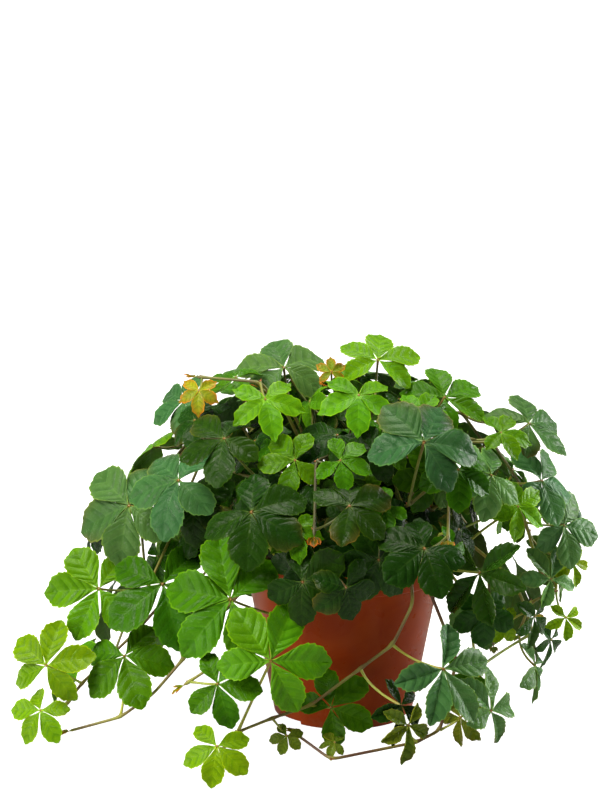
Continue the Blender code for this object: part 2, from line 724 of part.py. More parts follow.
def main():
    for old in list(bpy.data.objects):
        bpy.data.objects.remove(old)
    rng = random.Random(SEED)
    standing = Standing()
    shoots = SHOOTS | rule_shoots(rng)
    add_pot(standing)
    add_soil([hole for hole, _ in shoots.values()], standing, rng)
    stems = {}
    for name, (hole, items) in shoots.items():
        route, leaves, nodes = route_of(items, rng)
        path, route = settle_stem(hole, route, standing, rng)
        stems[name] = path, leaves, [route[node] for node in nodes]
        standing.add(stem_solid(path), name)
    for name, (path, leaves, roots) in stems.items():
        blades = []
        for leaf, root in zip(leaves, roots):
            blade = settle_leaf(leaf, root, name, standing, rng)
            if blade:
                standing.add(leaf_solid(blade, root))
            blades.append(blade)
        add_shoot(name, path, blades, roots)


main()
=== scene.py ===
"""The looks of a potted miniature grape ivy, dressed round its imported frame.

The pot, the soil and every leafy shoot are made again with their fine forms. The leaves lie where the solids
are, because the same table, rule and seed place them. Lengths are metres, +Z is up and -Y faces the camera.
"""

import json
import math
import random
from collections import namedtuple

import bmesh
import bpy
import numpy as np
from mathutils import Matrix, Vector
from mathutils.bvhtree import BVHTree

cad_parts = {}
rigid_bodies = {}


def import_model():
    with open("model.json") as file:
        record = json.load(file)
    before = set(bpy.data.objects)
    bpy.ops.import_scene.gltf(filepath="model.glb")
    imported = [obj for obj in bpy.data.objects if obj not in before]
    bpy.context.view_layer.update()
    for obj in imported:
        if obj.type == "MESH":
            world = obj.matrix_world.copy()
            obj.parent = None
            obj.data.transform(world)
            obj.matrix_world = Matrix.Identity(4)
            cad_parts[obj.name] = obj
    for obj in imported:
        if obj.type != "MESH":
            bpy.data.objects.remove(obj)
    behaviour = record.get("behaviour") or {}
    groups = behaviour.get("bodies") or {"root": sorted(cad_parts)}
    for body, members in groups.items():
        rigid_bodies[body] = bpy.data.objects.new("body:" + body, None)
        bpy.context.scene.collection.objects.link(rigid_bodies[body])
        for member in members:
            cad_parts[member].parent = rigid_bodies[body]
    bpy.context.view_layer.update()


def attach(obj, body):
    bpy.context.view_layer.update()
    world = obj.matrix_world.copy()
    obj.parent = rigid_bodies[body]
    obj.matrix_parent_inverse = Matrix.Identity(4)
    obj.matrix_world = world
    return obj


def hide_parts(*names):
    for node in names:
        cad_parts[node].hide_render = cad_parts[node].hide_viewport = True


MM = 0.001

# The pot, a 13 cm nursery size
POT_HEIGHT = 100 * MM
RIM_RADIUS = 65 * MM
BASE_RADIUS = 42 * MM
WALL = 1.6 * MM
WALL_SLOPE = 0.19
COLLAR_HEIGHT = 16 * MM
COLLAR_STEP = 3.2 * MM
LIP = 0.5 * MM
POT_SIDES = 40
DRAIN_COUNT = 6
DRAIN_WIDTH = 19 * MM
DRAIN_HEIGHT = 2.2 * MM
DRAIN_DEPTH = 9 * MM
DRAIN_TURN = -81

# The soil
SOIL_TOP = 88 * MM
SOIL_DOME = 3 * MM
SOIL_SIDES = 16
SOIL_RINGS = 3
SOIL_GRAIN = 0.9 * MM
SOIL_GAP = 1.6
ROOT_DEPTH = 15 * MM
CLEARANCE = 0.35 * MM

# Stems and petioles
STEM_BASE_RADIUS = 1.45 * MM
STEM_TIP_RADIUS = 0.95 * MM
STEM_SIDES = 3
STEM_STEPS = 2
STEM_TIP = 4 * MM
COLLAR_OF_AIR = 2.5 * MM
LOWEST_STEM = 1.8 * MM
RIM_CLEARANCE = 9 * MM
RISE_SHARE = 0.32
RISE_HEIGHT = 14 * MM
RISE_CLIMB = 0.5
PETIOLE_RADIUS = 0.62 * MM
PETIOLE_SIDES = 3
PETIOLE_RATIO = 1.05
PETIOLE_BACK = 0.45
PETIOLE_ALONG = 0.75
PETIOLE_BEND = 0.16
PETIOLE_BEND_AT = 0.45

# Leaves: an outline gives the right half of a leaflet of length 1, from the rib outwards
BLADE = 0.8 * MM
LOWEST_LEAF = 0.5 * MM
LEAFLET_TURNS = (-124, -62, 0, 62, 124)
LEAFLET_LENGTHS = (0.84, 0.97, 1.0, 0.97, 0.84)
FULL_OUTLINE = ((0.41, 0.21), (0.78, 0.285), (1.0, 0.0))
PLAIN_OUTLINE = ((0.64, 0.31), (1.0, 0.0))
FULL_LENGTH = 25 * MM
NOTCH = 0.11
LEAST_NOTCH = 1.3 * MM
LENGTH_PLAY = (0.95, 1.07)
VIEW_TILT = 13

# Leaf forms: how wide the leaflets are, how they fold at the rib, droop and roll, and how unevenly they turn
Form = namedtuple("Form", "width fold droop roll turn")
FORMS = {
    "spread": Form(1.0, 0.12, (0.10, 0.46), 0.15, 4),
    "folded": Form(0.70, 0.50, (0.08, 0.26), 0.12, 9),
    "pointed": Form(0.88, 0.16, (0.10, 0.34), 0.12, 5)}

# How a piece is moved clear of what already stands: the space it keeps, and how far it may stray
CLEAR_SKIN = 1.2 * MM
CLEAR_GROWTH = 1.03
STEM_SKIN = 0.7 * MM
TRIES = 700
STRAY = 17 * MM
STRAY_TURN = 42
LEAST_LENGTH = 0.84
STEM_STRAY = 12 * MM
EASY_TURN = 0.2
SHARPEST_TURN = -0.2
LEAST_STEP = 3 * MM
EASING = 14
EASE = 0.2

Leaf = namedtuple("Leaf", "across depth height length pan tilt spin tone form", defaults=("spread",))
Pass = namedtuple("Pass", "across depth height")
Blade = namedtuple("Blade", "place normal along side length leaflets tone")
Leaflet = namedtuple("Leaflet", "turn length width fold droop roll")

# Each shoot is its hole in the soil, then in order the points that its stem passes and its leaves. A leaf
# right after a point grows from that point, and any other leaf from a node behind it. A leaf is the place of
# its centre and the length of its middle leaflet in millimetres, then in degrees the way that its face is
# panned to the right and tilted up, and the way that its middle leaflet points, seen from the front and
# anticlockwise. Its tone and its form follow.
SHOOTS = {
    "left_runner": ((-30, -14), (
        Leaf(-59, -60, 104, 14, 0, 30, 90, "bright"),
        Pass(-81, -52, 64),
        Pass(-94, -52, 46),
        Leaf(-106, -50, 90, 38, -5, 25, 281, "mid"),
        Pass(-111, -58, 27),
        Pass(-130, -61, 14),
        Leaf(-126, -48, 43, 32, -10, 30, 280, "fresh"),
        Pass(-156, -62, 7))),
    "left_far": ((-38, -16), (
        Pass(-88, -30, 96),
        Pass(-122, -34, 58),
        Pass(-154, -44, 29),
        Leaf(-173, -55, 43, 28, -20, 25, 80, "bright"),
        Pass(-161, -50, 20),
        Leaf(-175, -68, 15, 20, -20, 40, 245, "bright"))),
    "left_arch": ((-38, -4), (
        Leaf(-96, -45, 150, 32, -28, 44, 186, "sage"),
        Leaf(-127, -20, 130, 36, -18, 32, 197, "sage"),
        Leaf(-146, -35, 84, 34, -15, 25, 184, "fresh"))),
    "front_left": ((-18, -30), (
        Pass(-34, -84, 116),
        Leaf(-53, -95, 142, 31, -8, 46, 321, "deep"),
        Leaf(-65, -88, 91, 39, -5, 25, 165, "fresh"),
        Leaf(-72, -100, 46, 24, -10, 25, 350, "fresh"))),
    "front_runner": ((22, -30), (
        Pass(40, -80, 112),
        Pass(37, -82, 87),
        Pass(26, -78, 62),
        Leaf(52, -95, 54, 34, 32, 28, 315, "sage", "folded"),
        Pass(8, -74, 47),
        Leaf(30, -94, 32, 21, 50, 10, 250, "deep", "folded"),
        Pass(-20, -73, 25),
        Leaf(-13, -80, 29, 27, 0, 30, 43, "mid"),
        Pass(-42, -84, 21),
        Leaf(-33, -84, 10, 11, 0, 40, 250, "olive"),
        Pass(-61, -96, 17),
        Leaf(-44, -108, 61, 36, 0, 25, 66, "fresh"),
        Pass(-66, -108, 14),
        Leaf(-71, -132, 15, 20, -5, 40, 262, "bright"))),
    "front_right": ((8, -36), (
        Pass(50, -82, 108),
        Pass(54, -78, 60),
        Pass(48, -72, 14),
        Leaf(62, -80, 17, 18, -40, 10, 250, "olive", "folded"),
        Pass(34, -80, 5),
        Leaf(33, -97, 12, 21, 52, 15, 280, "olive", "folded"),
        Pass(-3, -96, 3),
        Leaf(-9, -92, 9, 9, 0, 60, 180, "olive"),
        Pass(-21, -86, 3))),
    "front_crown": ((2, -22), (
        Leaf(7, -55, 201, 25, 5, 48, 268, "lime", "pointed"),
        Leaf(-4, -85, 169, 18, 0, 40, 340, "mid"),
        Leaf(1, -105, 148, 26, 8, 48, 30, "deep"))),
    "front_face": ((-6, -38), (
        Leaf(-26, -100, 136, 18, 0, 30, 280, "fresh", "pointed"),
        Leaf(-24, -105, 105, 26, -12, 8, 330, "deep"),
        Leaf(-4, -108, 102, 22, 10, 2, 290, "deep"))),
    "front_heart": ((-2, -7), (
        Leaf(-29, -68, 166, 22, -5, 30, 190, "fresh"),
        Leaf(-32, -74, 141, 25, -25, 18, 240, "deep"),
        Leaf(-48, -80, 114, 25, -28, 5, 250, "deep"))),
    "front_apron": ((14, -47), (
        Leaf(24, -76, 136, 25, 20, 12, 280, "deep"),
        Leaf(17, -98, 116, 25, 14, 3, 250, "deep"))),
    "right_face": ((26, -14), (
        Leaf(42, -85, 179, 33, 10, 40, 65, "sage"),
        Leaf(62, -75, 162, 23, 10, 30, 265, "mid"),
        Leaf(46, -66, 151, 24, 15, 30, 200, "mid"),
        Leaf(40, -115, 127, 28, 5, 42, 226, "deep"))),
    "right_low": ((36, -20), (
        Pass(62, -58, 106),
        Leaf(75, -75, 103, 31, -45, 15, 280, "deep", "folded"),
        Pass(70, -54, 84),
        Pass(76, -52, 40),
        Leaf(80, -75, 20, 28, 48, 15, 60, "sage", "folded"))),
    "right_trail": ((38, -6), (
        Leaf(82, -60, 156, 26, 30, 30, 200, "sage"),
        Leaf(116, -20, 145, 27, 38, 30, 0, "sage"),
        Leaf(131, -10, 116, 26, 30, 20, 350, "sage"),
        Pass(120, -14, 84),
        Leaf(76, -60, 77, 20, 20, 10, 270, "deep"),
        Leaf(123, -20, 87, 22, 30, 20, 120, "sage", "folded"),
        Leaf(138, -4, 92, 15, 35, 10, 285, "bright", "folded"),
        Leaf(132, -20, 62, 14, 30, 10, 270, "bright", "folded"),
        Leaf(112, -32, 66, 20, 55, 0, 275, "deep", "folded"),
        Leaf(115, -15, 31, 23, 70, 5, 262, "sage", "folded"))),
    "right_drop": ((34, 6), (
        Leaf(100, -40, 132, 21, 30, 30, 330, "fresh", "pointed"),
        Pass(100, -22, 86),
        Pass(109, -20, 66),
        Leaf(94, -34, 62, 13, 10, 20, 180, "bright"),
        Pass(112, -20, 37),
        Leaf(72, -62, 42, 18, 20, 20, 200, "mid", "folded"),
        Leaf(124, -2, 39, 18, 50, 0, 270, "deep", "folded"))),
    "right_crown": ((18, 4), (
        Leaf(59, -10, 193, 28, 20, 45, 40, "mid"),
        Leaf(108, -20, 179, 27, 35, 45, 30, "sage"),
        Leaf(134, 0, 126, 18, 30, 30, 20, "sage"))),
    "bright_crown": ((12, -8), (
        Leaf(43, -30, 187, 20, 10, 50, 60, "fresh", "pointed"),
        Leaf(89, -40, 177, 20, 20, 50, 0, "fresh", "pointed"))),
    "top": ((4, 8), (
        Leaf(20, 0, 214, 27, 5, 55, 85, "lime"),
        Leaf(-8, -30, 211, 10, 0, 30, 90, "bronze", "pointed"))),
    "left_crown": ((-10, -10), (
        Leaf(-46, -50, 198, 24, 0, 40, 279, "lime", "pointed"),
        Leaf(-85, -30, 200, 14, -10, 30, 270, "bronze", "pointed"))),
    "left_top": ((-14, 6), (
        Leaf(-36, 10, 208, 31, 0, 55, 100, "sage"),
        Leaf(-64, -10, 205, 21, -30, 70, 150, "mid"))),
    "left_face": ((-24, -26), (
        Leaf(-69, -60, 177, 27, -20, 50, 200, "deep"),
        Leaf(-85, -40, 140, 25, -30, 20, 260, "deep"))),
    "left_side": ((-28, 4), (
        Leaf(-88, -20, 181, 19, -40, 40, 200, "deep"),
        Leaf(-97, 0, 192, 24, -40, 45, 200, "sage"),
        Leaf(-111, -10, 97, 18, -50, 10, 270, "mid"))),
}

# Shoots hidden from the front follow a rule. Each takes one of these descents round the back, or fills the
# middle of the crown: the reach of each leaf from the axis and its height in millimetres, and its tilt.
HIDDEN = "hidden"
BACK_COUNT = 8
BACK_FROM = 22
BACK_TO = 166
BACK_HOLES = 34
BACK_DESCENTS = (
    ((58, 196, 58), (98, 172, 46), (126, 132, 30), (138, 88, 20)),
    ((74, 186, 52), (112, 152, 38), (134, 110, 25), (138, 62, 22), (150, 20, 38)))
FILL_COUNT = 6
FILL_HOLES = 47
FILL_TURN = 15
FILL_CLIMB = ((48, 168, 56), (72, 142, 38), (82, 112, 24))
RULE_SWAY = (6, 11)
RULE_LENGTHS = (23, 32)
RULE_LIFT = 5
RULE_TILT = 8
RULE_SPIN = 50
PLANT_MIDDLE = -8
PLANT_WIDTH = 1.06
SEED = 10


def smooth_path(points, steps):
    """A Catmull-Rom curve from the second point to the last but one, in so many steps between each two."""
    path = []
    for before, start, end, after in zip(points, points[1:], points[2:], points[3:]):
        for step in range(steps):
            t = step / steps
            path.append(0.5 * (2 * start + (end - before) * t
                               + (2 * before - 5 * start + 4 * end - after) * t ** 2
                               + (3 * start - before - 3 * end + after) * t ** 3))
    return path + [points[-2]]


def tube(path, radii, sides, first_way=None):
    """A closed tube along the path. Its first ring may face another way than the path does."""
    points, faces = [], []
    across = Vector((1, 1, 0))
    for index, centre in enumerate(path):
        ahead = path[min(index + 1, len(path) - 1)] - path[max(index - 1, 0)]
        if first_way and not index:
            ahead = first_way
        ahead = ahead.normalized()
        if abs(ahead.dot(across.normalized())) > 0.98:
            across = Vector((0, 0, 1))
        across = (across - ahead * across.dot(ahead)).normalized()
        other = ahead.cross(across)
        for side in range(sides):
            turn = math.tau * side / sides
            points.append(centre + (across * math.cos(turn) + other * math.sin(turn)) * radii[index])
    for ring in range(len(path) - 1):
        for side in range(sides):
            low, after = ring * sides + side, ring * sides + (side + 1) % sides
            faces.append((low, after, after + sides, low + sides))
    faces.append(tuple(range(sides)))
    faces.append(tuple(range(len(points) - sides, len(points))))
    return points, faces


def blade_of(leaf, rng):
    """A leaf of the table as a blade in space, with its five leaflets each a little different."""
    pan, tilt, spin = math.radians(leaf.pan), math.radians(leaf.tilt), math.radians(leaf.spin)
    normal = Vector((math.sin(pan) * math.cos(tilt), -math.cos(pan) * math.cos(tilt), math.sin(tilt)))
    view = math.radians(VIEW_TILT)
    upward = Vector((0, math.sin(view), math.cos(view)))
    pointing = Vector((1, 0, 0)) * math.cos(spin) + upward * math.sin(spin)
    along = (pointing - normal * pointing.dot(normal)).normalized()
    form = FORMS[leaf.form]
    leaflets = [Leaflet(turn + rng.uniform(-form.turn, form.turn), share * rng.uniform(*LENGTH_PLAY),
                        form.width, form.fold, rng.uniform(*form.droop), rng.uniform(-form.roll, form.roll))
                for turn, share in zip(LEAFLET_TURNS, LEAFLET_LENGTHS)]
    place = Vector((leaf.across, leaf.depth, leaf.height)) * MM
    return Blade(place, normal, along, normal.cross(along), leaf.length * MM, leaflets, leaf.tone)


def leaflet_edge(blade, index):
    """A leaflet's outline from its right side to its left, as distances along its rib and across it."""
    full = blade.length >= FULL_LENGTH and blade.tone != HIDDEN and 0 < index < len(blade.leaflets) - 1
    half = FULL_OUTLINE if full else PLAIN_OUTLINE
    left = [(forward, wide) for forward, wide in reversed(half) if wide]
    return [(forward, -wide) for forward, wide in half] + left


def blade_outline(blade, grown=1.0):
    """The blade's outline anticlockwise on its middle surface. Each leaflet is cut nearly to the rib."""
    points = []
    notch = max(NOTCH, LEAST_NOTCH / blade.length)

    def add(turn, forward, sideways, height):
        turn = math.radians(turn)
        ahead = forward * math.cos(turn) - sideways * math.sin(turn)
        left = forward * math.sin(turn) + sideways * math.cos(turn)
        place = blade.along * ahead + blade.side * left + blade.normal * height
        points.append(blade.place + place * blade.length * grown)

    for index, leaflet in enumerate(blade.leaflets):
        for forward, sideways in leaflet_edge(blade, index):
            sideways *= leaflet.width
            height = leaflet.fold * abs(sideways) + leaflet.roll * sideways - leaflet.droop * forward ** 2
            add(leaflet.turn, forward * leaflet.length, sideways * leaflet.length, height)
        if index + 1 < len(blade.leaflets):
            add((leaflet.turn + blade.leaflets[index + 1].turn) / 2, notch, 0, 0)
    add(180, notch, 0, 0)
    return points


def thick_blade(blade):
    """A closed, thickened blade with no petiole, for testing what it would meet."""
    outline = blade_outline(blade, CLEAR_GROWTH)
    count = len(outline)
    lift = blade.normal * CLEAR_SKIN
    points = [p + lift for p in outline] + [p - lift for p in outline]
    points += [blade.place + lift, blade.place - lift]
    faces = []
    for i in range(count):
        after = (i + 1) % count
        faces += [(2 * count, i, after), (2 * count + 1, count + after, count + i)]
        faces += [(i, count + i, count + after), (i, count + after, after)]
    return points, faces


def petiole_path(blade, root):
    """The petiole's middle line, from behind the blade to its root in the stem."""
    start = blade.place - blade.normal * BLADE / 2
    bend = start.lerp(root, PETIOLE_BEND_AT) - blade.normal * (start - root).length * PETIOLE_BEND
    return [start, bend, root]


def leaf_solid(blade, root):
    """The blade and its petiole as one closed body."""
    outline = blade_outline(blade)
    count = len(outline)
    lift = blade.normal * BLADE / 2
    points = [p + lift for p in outline] + [p - lift for p in outline] + [blade.place + lift]
    faces = []
    for i in range(count):
        after = (i + 1) % count
        faces += [(2 * count, i, after), (i, count + i, count + after), (i, count + after, after)]
    path = petiole_path(blade, root)
    stalk, stalk_faces = tube(path, [PETIOLE_RADIUS] * 3, PETIOLE_SIDES, -blade.normal)
    first = len(points)
    points += stalk
    faces += [tuple(first + corner for corner in face) for face in stalk_faces[:-2] + stalk_faces[-1:]]
    nearest = [min(range(PETIOLE_SIDES), key=lambda k: (stalk[k] - p).length_squared) for p in outline]
    for i in range(count):
        after = (i + 1) % count
        here, there = first + nearest[i], first + nearest[after]
        faces.append((here, count + after, count + i))
        if here != there:
            faces.append((here, there, count + after))
    return points, faces


class Standing:
    """What already stands, so that the next piece can be moved clear of it."""

    def __init__(self):
        self.pieces = []

    def add(self, solid, name=None):
        self.pieces.append((*self.ball(solid), BVHTree.FromPolygons(*solid), name))

    def meets(self, solid, besides="nothing"):
        """Whether the solid crosses a piece that stands, apart from those of one name."""
        centre, radius = self.ball(solid)
        near = [tree for other, reach, tree, name in self.pieces
                if name != besides and (centre - other).length < radius + reach]
        if not near:
            return False
        probe = BVHTree.FromPolygons(*solid)
        return any(probe.overlap(tree) for tree in near)

    @staticmethod
    def ball(solid):
        centre = sum(solid[0], Vector()) / len(solid[0])
        return centre, max((p - centre).length for p in solid[0])


def place_of(item):
    return Vector((item.across, item.depth, item.height)) * MM


def root_of(leaf, rng):
    """Where a leaf leaves its stem: behind the blade, on the side away from its middle leaflet."""
    blade = blade_of(leaf, rng)
    back = blade.along * PETIOLE_ALONG + blade.normal * PETIOLE_BACK
    return blade.place - back * blade.length * PETIOLE_RATIO


def sharpest(path):
    """The cosine of the sharpest turn along the path."""
    ways = [(after - before).normalized() for before, after in zip(path, path[1:])]
    return min(one.dot(other) for one, other in zip(ways, ways[1:]))


def eased(hole, route):
    """The route with each point that makes a sharp turn drawn in towards its neighbours."""
    route = [Vector((hole[0] * MM, hole[1] * MM, SOIL_TOP)), *route]
    for _ in range(EASING):
        for i in range(1, len(route) - 1):
            if sharpest(route[i - 1:i + 2]) < EASY_TURN:
                route[i] = route[i].lerp((route[i - 1] + route[i + 1]) / 2, EASE)
    return route[1:]


def route_of(items, rng):
    """The points that a stem passes, the leaves, and the number of the point that each leaf grows from."""
    route, leaves, nodes = [], [], []
    for item, before in zip(items, (None, *items)):
        if isinstance(item, Pass):
            route.append(place_of(item))
            continue
        if not isinstance(before, Pass):
            route.append(root_of(item, rng))
        leaves.append(item)
        nodes.append(len(route) - 1)
    return route, leaves, nodes


def over_rim(route):
    """The route with a point added above the rim wherever it would pass too low over it."""
    clear = POT_HEIGHT + RIM_CLEARANCE
    full = route[:1]
    for before, after in zip(route, route[1:]):
        near, far = math.hypot(before.x, before.y), math.hypot(after.x, after.y)
        if near < RIM_RADIUS < far:
            if before.lerp(after, (RIM_RADIUS - near) / (far - near)).z < clear:
                crossing = after * ((RIM_RADIUS + COLLAR_OF_AIR) / far)
                full.append(Vector((crossing.x, crossing.y, clear)))
        full.append(after)
    return full


def stem_path(hole, route):
    """A stem's middle line: straight out of its hole, in a curve to its first point, then point to point."""
    stand = Vector((hole[0] * MM, hole[1] * MM, SOIL_TOP - ROOT_DEPTH))
    air = Vector((stand.x, stand.y, SOIL_TOP + SOIL_DOME + COLLAR_OF_AIR))
    rise = air.lerp(route[0], RISE_SHARE)
    rise.z = SOIL_TOP + RISE_CLIMB * max(route[0].z - SOIL_TOP, 0) + RISE_HEIGHT
    tip = route[-1] + (route[-1] - (route[-2] if len(route) > 1 else rise)).normalized() * STEM_TIP
    tip.z = max(tip.z, LOWEST_STEM)
    straight = over_rim(route)[1:] + [tip]
    bend = smooth_path([stand, air, *over_rim([rise, route[0]]), straight[0]], STEM_STEPS)
    return [stand] + bend + straight


def stem_solid(path, skin=0.0):
    last = len(path) - 1
    thinner = STEM_BASE_RADIUS - STEM_TIP_RADIUS
    return tube(path, [STEM_BASE_RADIUS - thinner * i / last + skin for i in range(last + 1)], STEM_SIDES)


def shaken(point, reach, rng):
    return point + Vector([rng.uniform(-reach, reach) for _ in range(3)])


def settle_stem(hole, route, standing, rng):
    """The stem's line and its route, moved as little as keeps it clear of what stands."""
    for attempt in range(TRIES):
        reach = STEM_STRAY * attempt / TRIES
        tried = [shaken(p, reach, rng) for p in route]
        for point in tried:
            point.z = max(point.z, LOWEST_STEM)
        tried = eased(hole, tried)
        path = stem_path(hole, tried)
        least = min((after - before).length for before, after in zip(path, path[1:]))
        plain = sharpest(path) > SHARPEST_TURN and least > LEAST_STEP
        if plain and not standing.meets(stem_solid(path[1:], STEM_SKIN)):
            return path, tried
    print("no clear way for the stem at", hole)
    return path, tried


def settle_leaf(leaf, root, stem, standing, rng):
    """The leaf's blade, moved and turned as little as keeps it and its petiole clear of what stands."""
    first = blade_of(leaf, rng)
    for attempt in range(TRIES):
        share = attempt / TRIES
        reach, turn = STRAY * share / MM, STRAY_TURN * share
        tried = leaf._replace(
            across=leaf.across + rng.uniform(-reach, reach), depth=leaf.depth + rng.uniform(-reach, reach),
            height=leaf.height + rng.uniform(-reach, reach), pan=leaf.pan + rng.uniform(-turn, turn),
            tilt=leaf.tilt + rng.uniform(-turn, turn), spin=leaf.spin + rng.uniform(-turn, turn),
            length=leaf.length * (1 - (1 - LEAST_LENGTH) * share))
        blade = blade_of(tried, rng)._replace(leaflets=first.leaflets)
        lowest = min(p.z for p in blade_outline(blade)) - BLADE / 2
        if lowest < LOWEST_LEAF:
            blade = blade._replace(place=blade.place + Vector((0, 0, LOWEST_LEAF - lowest)))
        stalk = tube(petiole_path(blade, root), [PETIOLE_RADIUS + STEM_SKIN] * 3, PETIOLE_SIDES)
        if not standing.meets(thick_blade(blade)) and not standing.meets(stalk, stem):
            return blade
    print("no clear place for the leaf at", leaf.across, leaf.depth, leaf.height)
    return None


def rule_shoots(rng):
    """The shoots that follow a rule: round the back, then in the middle of the crown."""
    made = {}

    def add(name, turn, holes, descent, tone):
        leaves = []
        for index, (reach, height, tilt) in enumerate(descent):
            way = turn + rng.uniform(*RULE_SWAY) * (-1) ** index
            across = PLANT_MIDDLE + PLANT_WIDTH * reach * math.cos(math.radians(way))
            depth = reach * math.sin(math.radians(way))
            height += rng.uniform(-RULE_LIFT, RULE_LIFT)
            tilt += rng.uniform(-RULE_TILT, RULE_TILT)
            spin = 270 + rng.uniform(-RULE_SPIN, RULE_SPIN)
            leaves.append(Leaf(across, depth, height, rng.uniform(*RULE_LENGTHS), way + 90, tilt, spin, tone))
        hole = [holes * math.cos(math.radians(turn)), holes * math.sin(math.radians(turn))]
        made[name] = (hole, tuple(leaves))

    for number in range(BACK_COUNT):
        turn = BACK_FROM + (BACK_TO - BACK_FROM) * number / (BACK_COUNT - 1)
        add(f"back_{number + 1}", turn, BACK_HOLES, BACK_DESCENTS[number % 2], HIDDEN)
    for number in range(FILL_COUNT):
        turn = FILL_TURN + 360 * number / FILL_COUNT
        add(f"inner_{number + 1}", turn, FILL_HOLES, FILL_CLIMB, HIDDEN)
    return made


def around(turn, reach, height):
    """The point at a height and a distance from the axis, in the direction of an angle."""
    return Vector((reach * math.cos(turn), reach * math.sin(turn), height))


def turned(profile, sides):
    """A closed body turned from a profile that starts and ends on the axis."""
    points = [Vector((0, 0, profile[0][1])), Vector((0, 0, profile[-1][1]))]
    rings = profile[1:-1]
    for radius, height in rings:
        for side in range(sides):
            points.append(around(math.tau * (side + 0.5) / sides, radius, height))
    faces = []
    for side in range(sides):
        after = (side + 1) % sides
        faces.append((0, 2 + side, 2 + after))
        last = 2 + (len(rings) - 1) * sides
        faces.append((1, last + after, last + side))
        for ring in range(len(rings) - 1):
            low = 2 + ring * sides
            faces.append((low + side, low + after, low + sides + after, low + sides + side))
    return points, faces


def wall_radius(height):
    return BASE_RADIUS + WALL_SLOPE * height


def pot_solid():
    """The pot's wall, its stepped collar and its floor, as one turned shell."""
    step = POT_HEIGHT - COLLAR_HEIGHT
    shoulder = wall_radius(step)
    collar = shoulder + COLLAR_STEP
    return turned((
        (0, 0), (BASE_RADIUS, 0), (shoulder, step), (collar, step + LIP),
        (RIM_RADIUS, POT_HEIGHT), (RIM_RADIUS - WALL, POT_HEIGHT), (collar - WALL, step + WALL + LIP),
        (shoulder - WALL, step + WALL),
        (wall_radius(WALL) - WALL, WALL), (0, WALL)), POT_SIDES)


def dome(edge, rings):
    """The soil's domed top as rings, from its edge inwards, each a radius and a height."""
    return [(edge * (1 - i / rings), SOIL_TOP + SOIL_DOME * math.sin(math.pi / 2 * i / rings))
            for i in range(rings)]


def soil_profile():
    """The root ball's outline, from the middle of its floor to the top of its dome."""
    ledge = POT_HEIGHT - COLLAR_HEIGHT + WALL
    low = WALL + CLEARANCE
    gap = WALL + CLEARANCE * SOIL_GAP
    neck = wall_radius(POT_HEIGHT - COLLAR_HEIGHT) - gap
    edge = neck + COLLAR_STEP
    return [(0, low), (wall_radius(low) - gap, low), (neck, ledge + CLEARANCE),
            (edge, ledge + LIP + CLEARANCE), *dome(edge, SOIL_RINGS), (0, SOIL_TOP + SOIL_DOME)]


def grown_shoots():
    """Every shoot's name, stem line, blades and their roots, as the solids have them, and all that stands."""
    rng = random.Random(SEED)
    standing = Standing()
    shoots = SHOOTS | rule_shoots(rng)
    standing.add(pot_solid())
    points, faces = turned(soil_profile(), SOIL_SIDES)
    for index in range(2 + 4 * SOIL_SIDES, len(points)):
        points[index].z += rng.uniform(-SOIL_GRAIN, SOIL_GRAIN)
    standing.add((points, faces))
    stems = {}
    for name, (hole, items) in shoots.items():
        route, leaves, nodes = route_of(items, rng)
        path, route = settle_stem(hole, route, standing, rng)
        stems[name] = path, leaves, [route[node] for node in nodes]
        standing.add(stem_solid(path), name)
    made = []
    for name, (path, leaves, roots) in stems.items():
        blades = []
        for leaf, root in zip(leaves, roots):
            blade = settle_leaf(leaf, root, name, standing, rng)
            if blade:
                standing.add(leaf_solid(blade, root))
            blades.append(blade)
        made.append((name, path, blades, roots))
    fill_crown(made, standing)
    return made, standing


def fill_crown(made, standing):
    """Adds smaller leaves among the crown's stems, each where nothing stands and from the nearest stem."""
    rng = random.Random(FILL_SEED)
    nodes = []
    for shoot, (_, path, _, _) in enumerate(made):
        for before, after in zip(path, path[1:]):
            pieces = max(1, round((after - before).length / FILL_STEP))
            nodes += [(shoot, before.lerp(after, i / pieces)) for i in range(pieces)]
    nodes = [(shoot, point) for shoot, point in nodes if point.z > FILL_LOW]
    count = 0
    for _ in range(FILL_TRIES):
        turn, rise = rng.uniform(0, math.tau), math.asin(rng.uniform(0, 1))
        share = rng.uniform(*FILL_DEPTHS)
        way = around(turn, math.cos(rise), math.sin(rise))
        place = Vector([c + r * w * share for c, r, w in zip(CROWN_CENTRE, CROWN_RADII, way)])
        # Leaves deeper in the crown than FILL_LIT take the hidden tone, the darkest green, as painted shade
        # of the crown's inside
        tone = rng.choices(*zip(*FILL_TONES.items()))[0] if share > FILL_LIT else HIDDEN
        length, pan = rng.uniform(*FILL_LENGTHS), math.degrees(turn) + 90 + rng.uniform(*FILL_PAN)
        tilt = math.degrees(rise) * FILL_LEAN + rng.uniform(*FILL_TILT)
        leaf = Leaf(*(place / MM), length, pan, tilt, 270 + rng.uniform(*FILL_SPIN), tone)
        shoot, root = min(nodes, key=lambda node: (node[1] - place + way * FILL_REACH).length)
        near, far = FILL_REACHES
        if place.z < FILL_LOWEST or not FILL_REACH * near < (root - place).length < FILL_REACH * far:
            continue
        name, _, blades, roots = made[shoot]
        blade = blade_of(leaf, rng)
        stalk = tube(petiole_path(blade, root), [PETIOLE_RADIUS] * 3, PETIOLE_SIDES)
        if standing.meets(thick_blade(blade)) or standing.meets(stalk, name):
            continue
        standing.add(leaf_solid(blade, root))
        blades.append(blade)
        roots.append(root)
        count += 1
        if count == FILL_COUNT_MOST:
            break


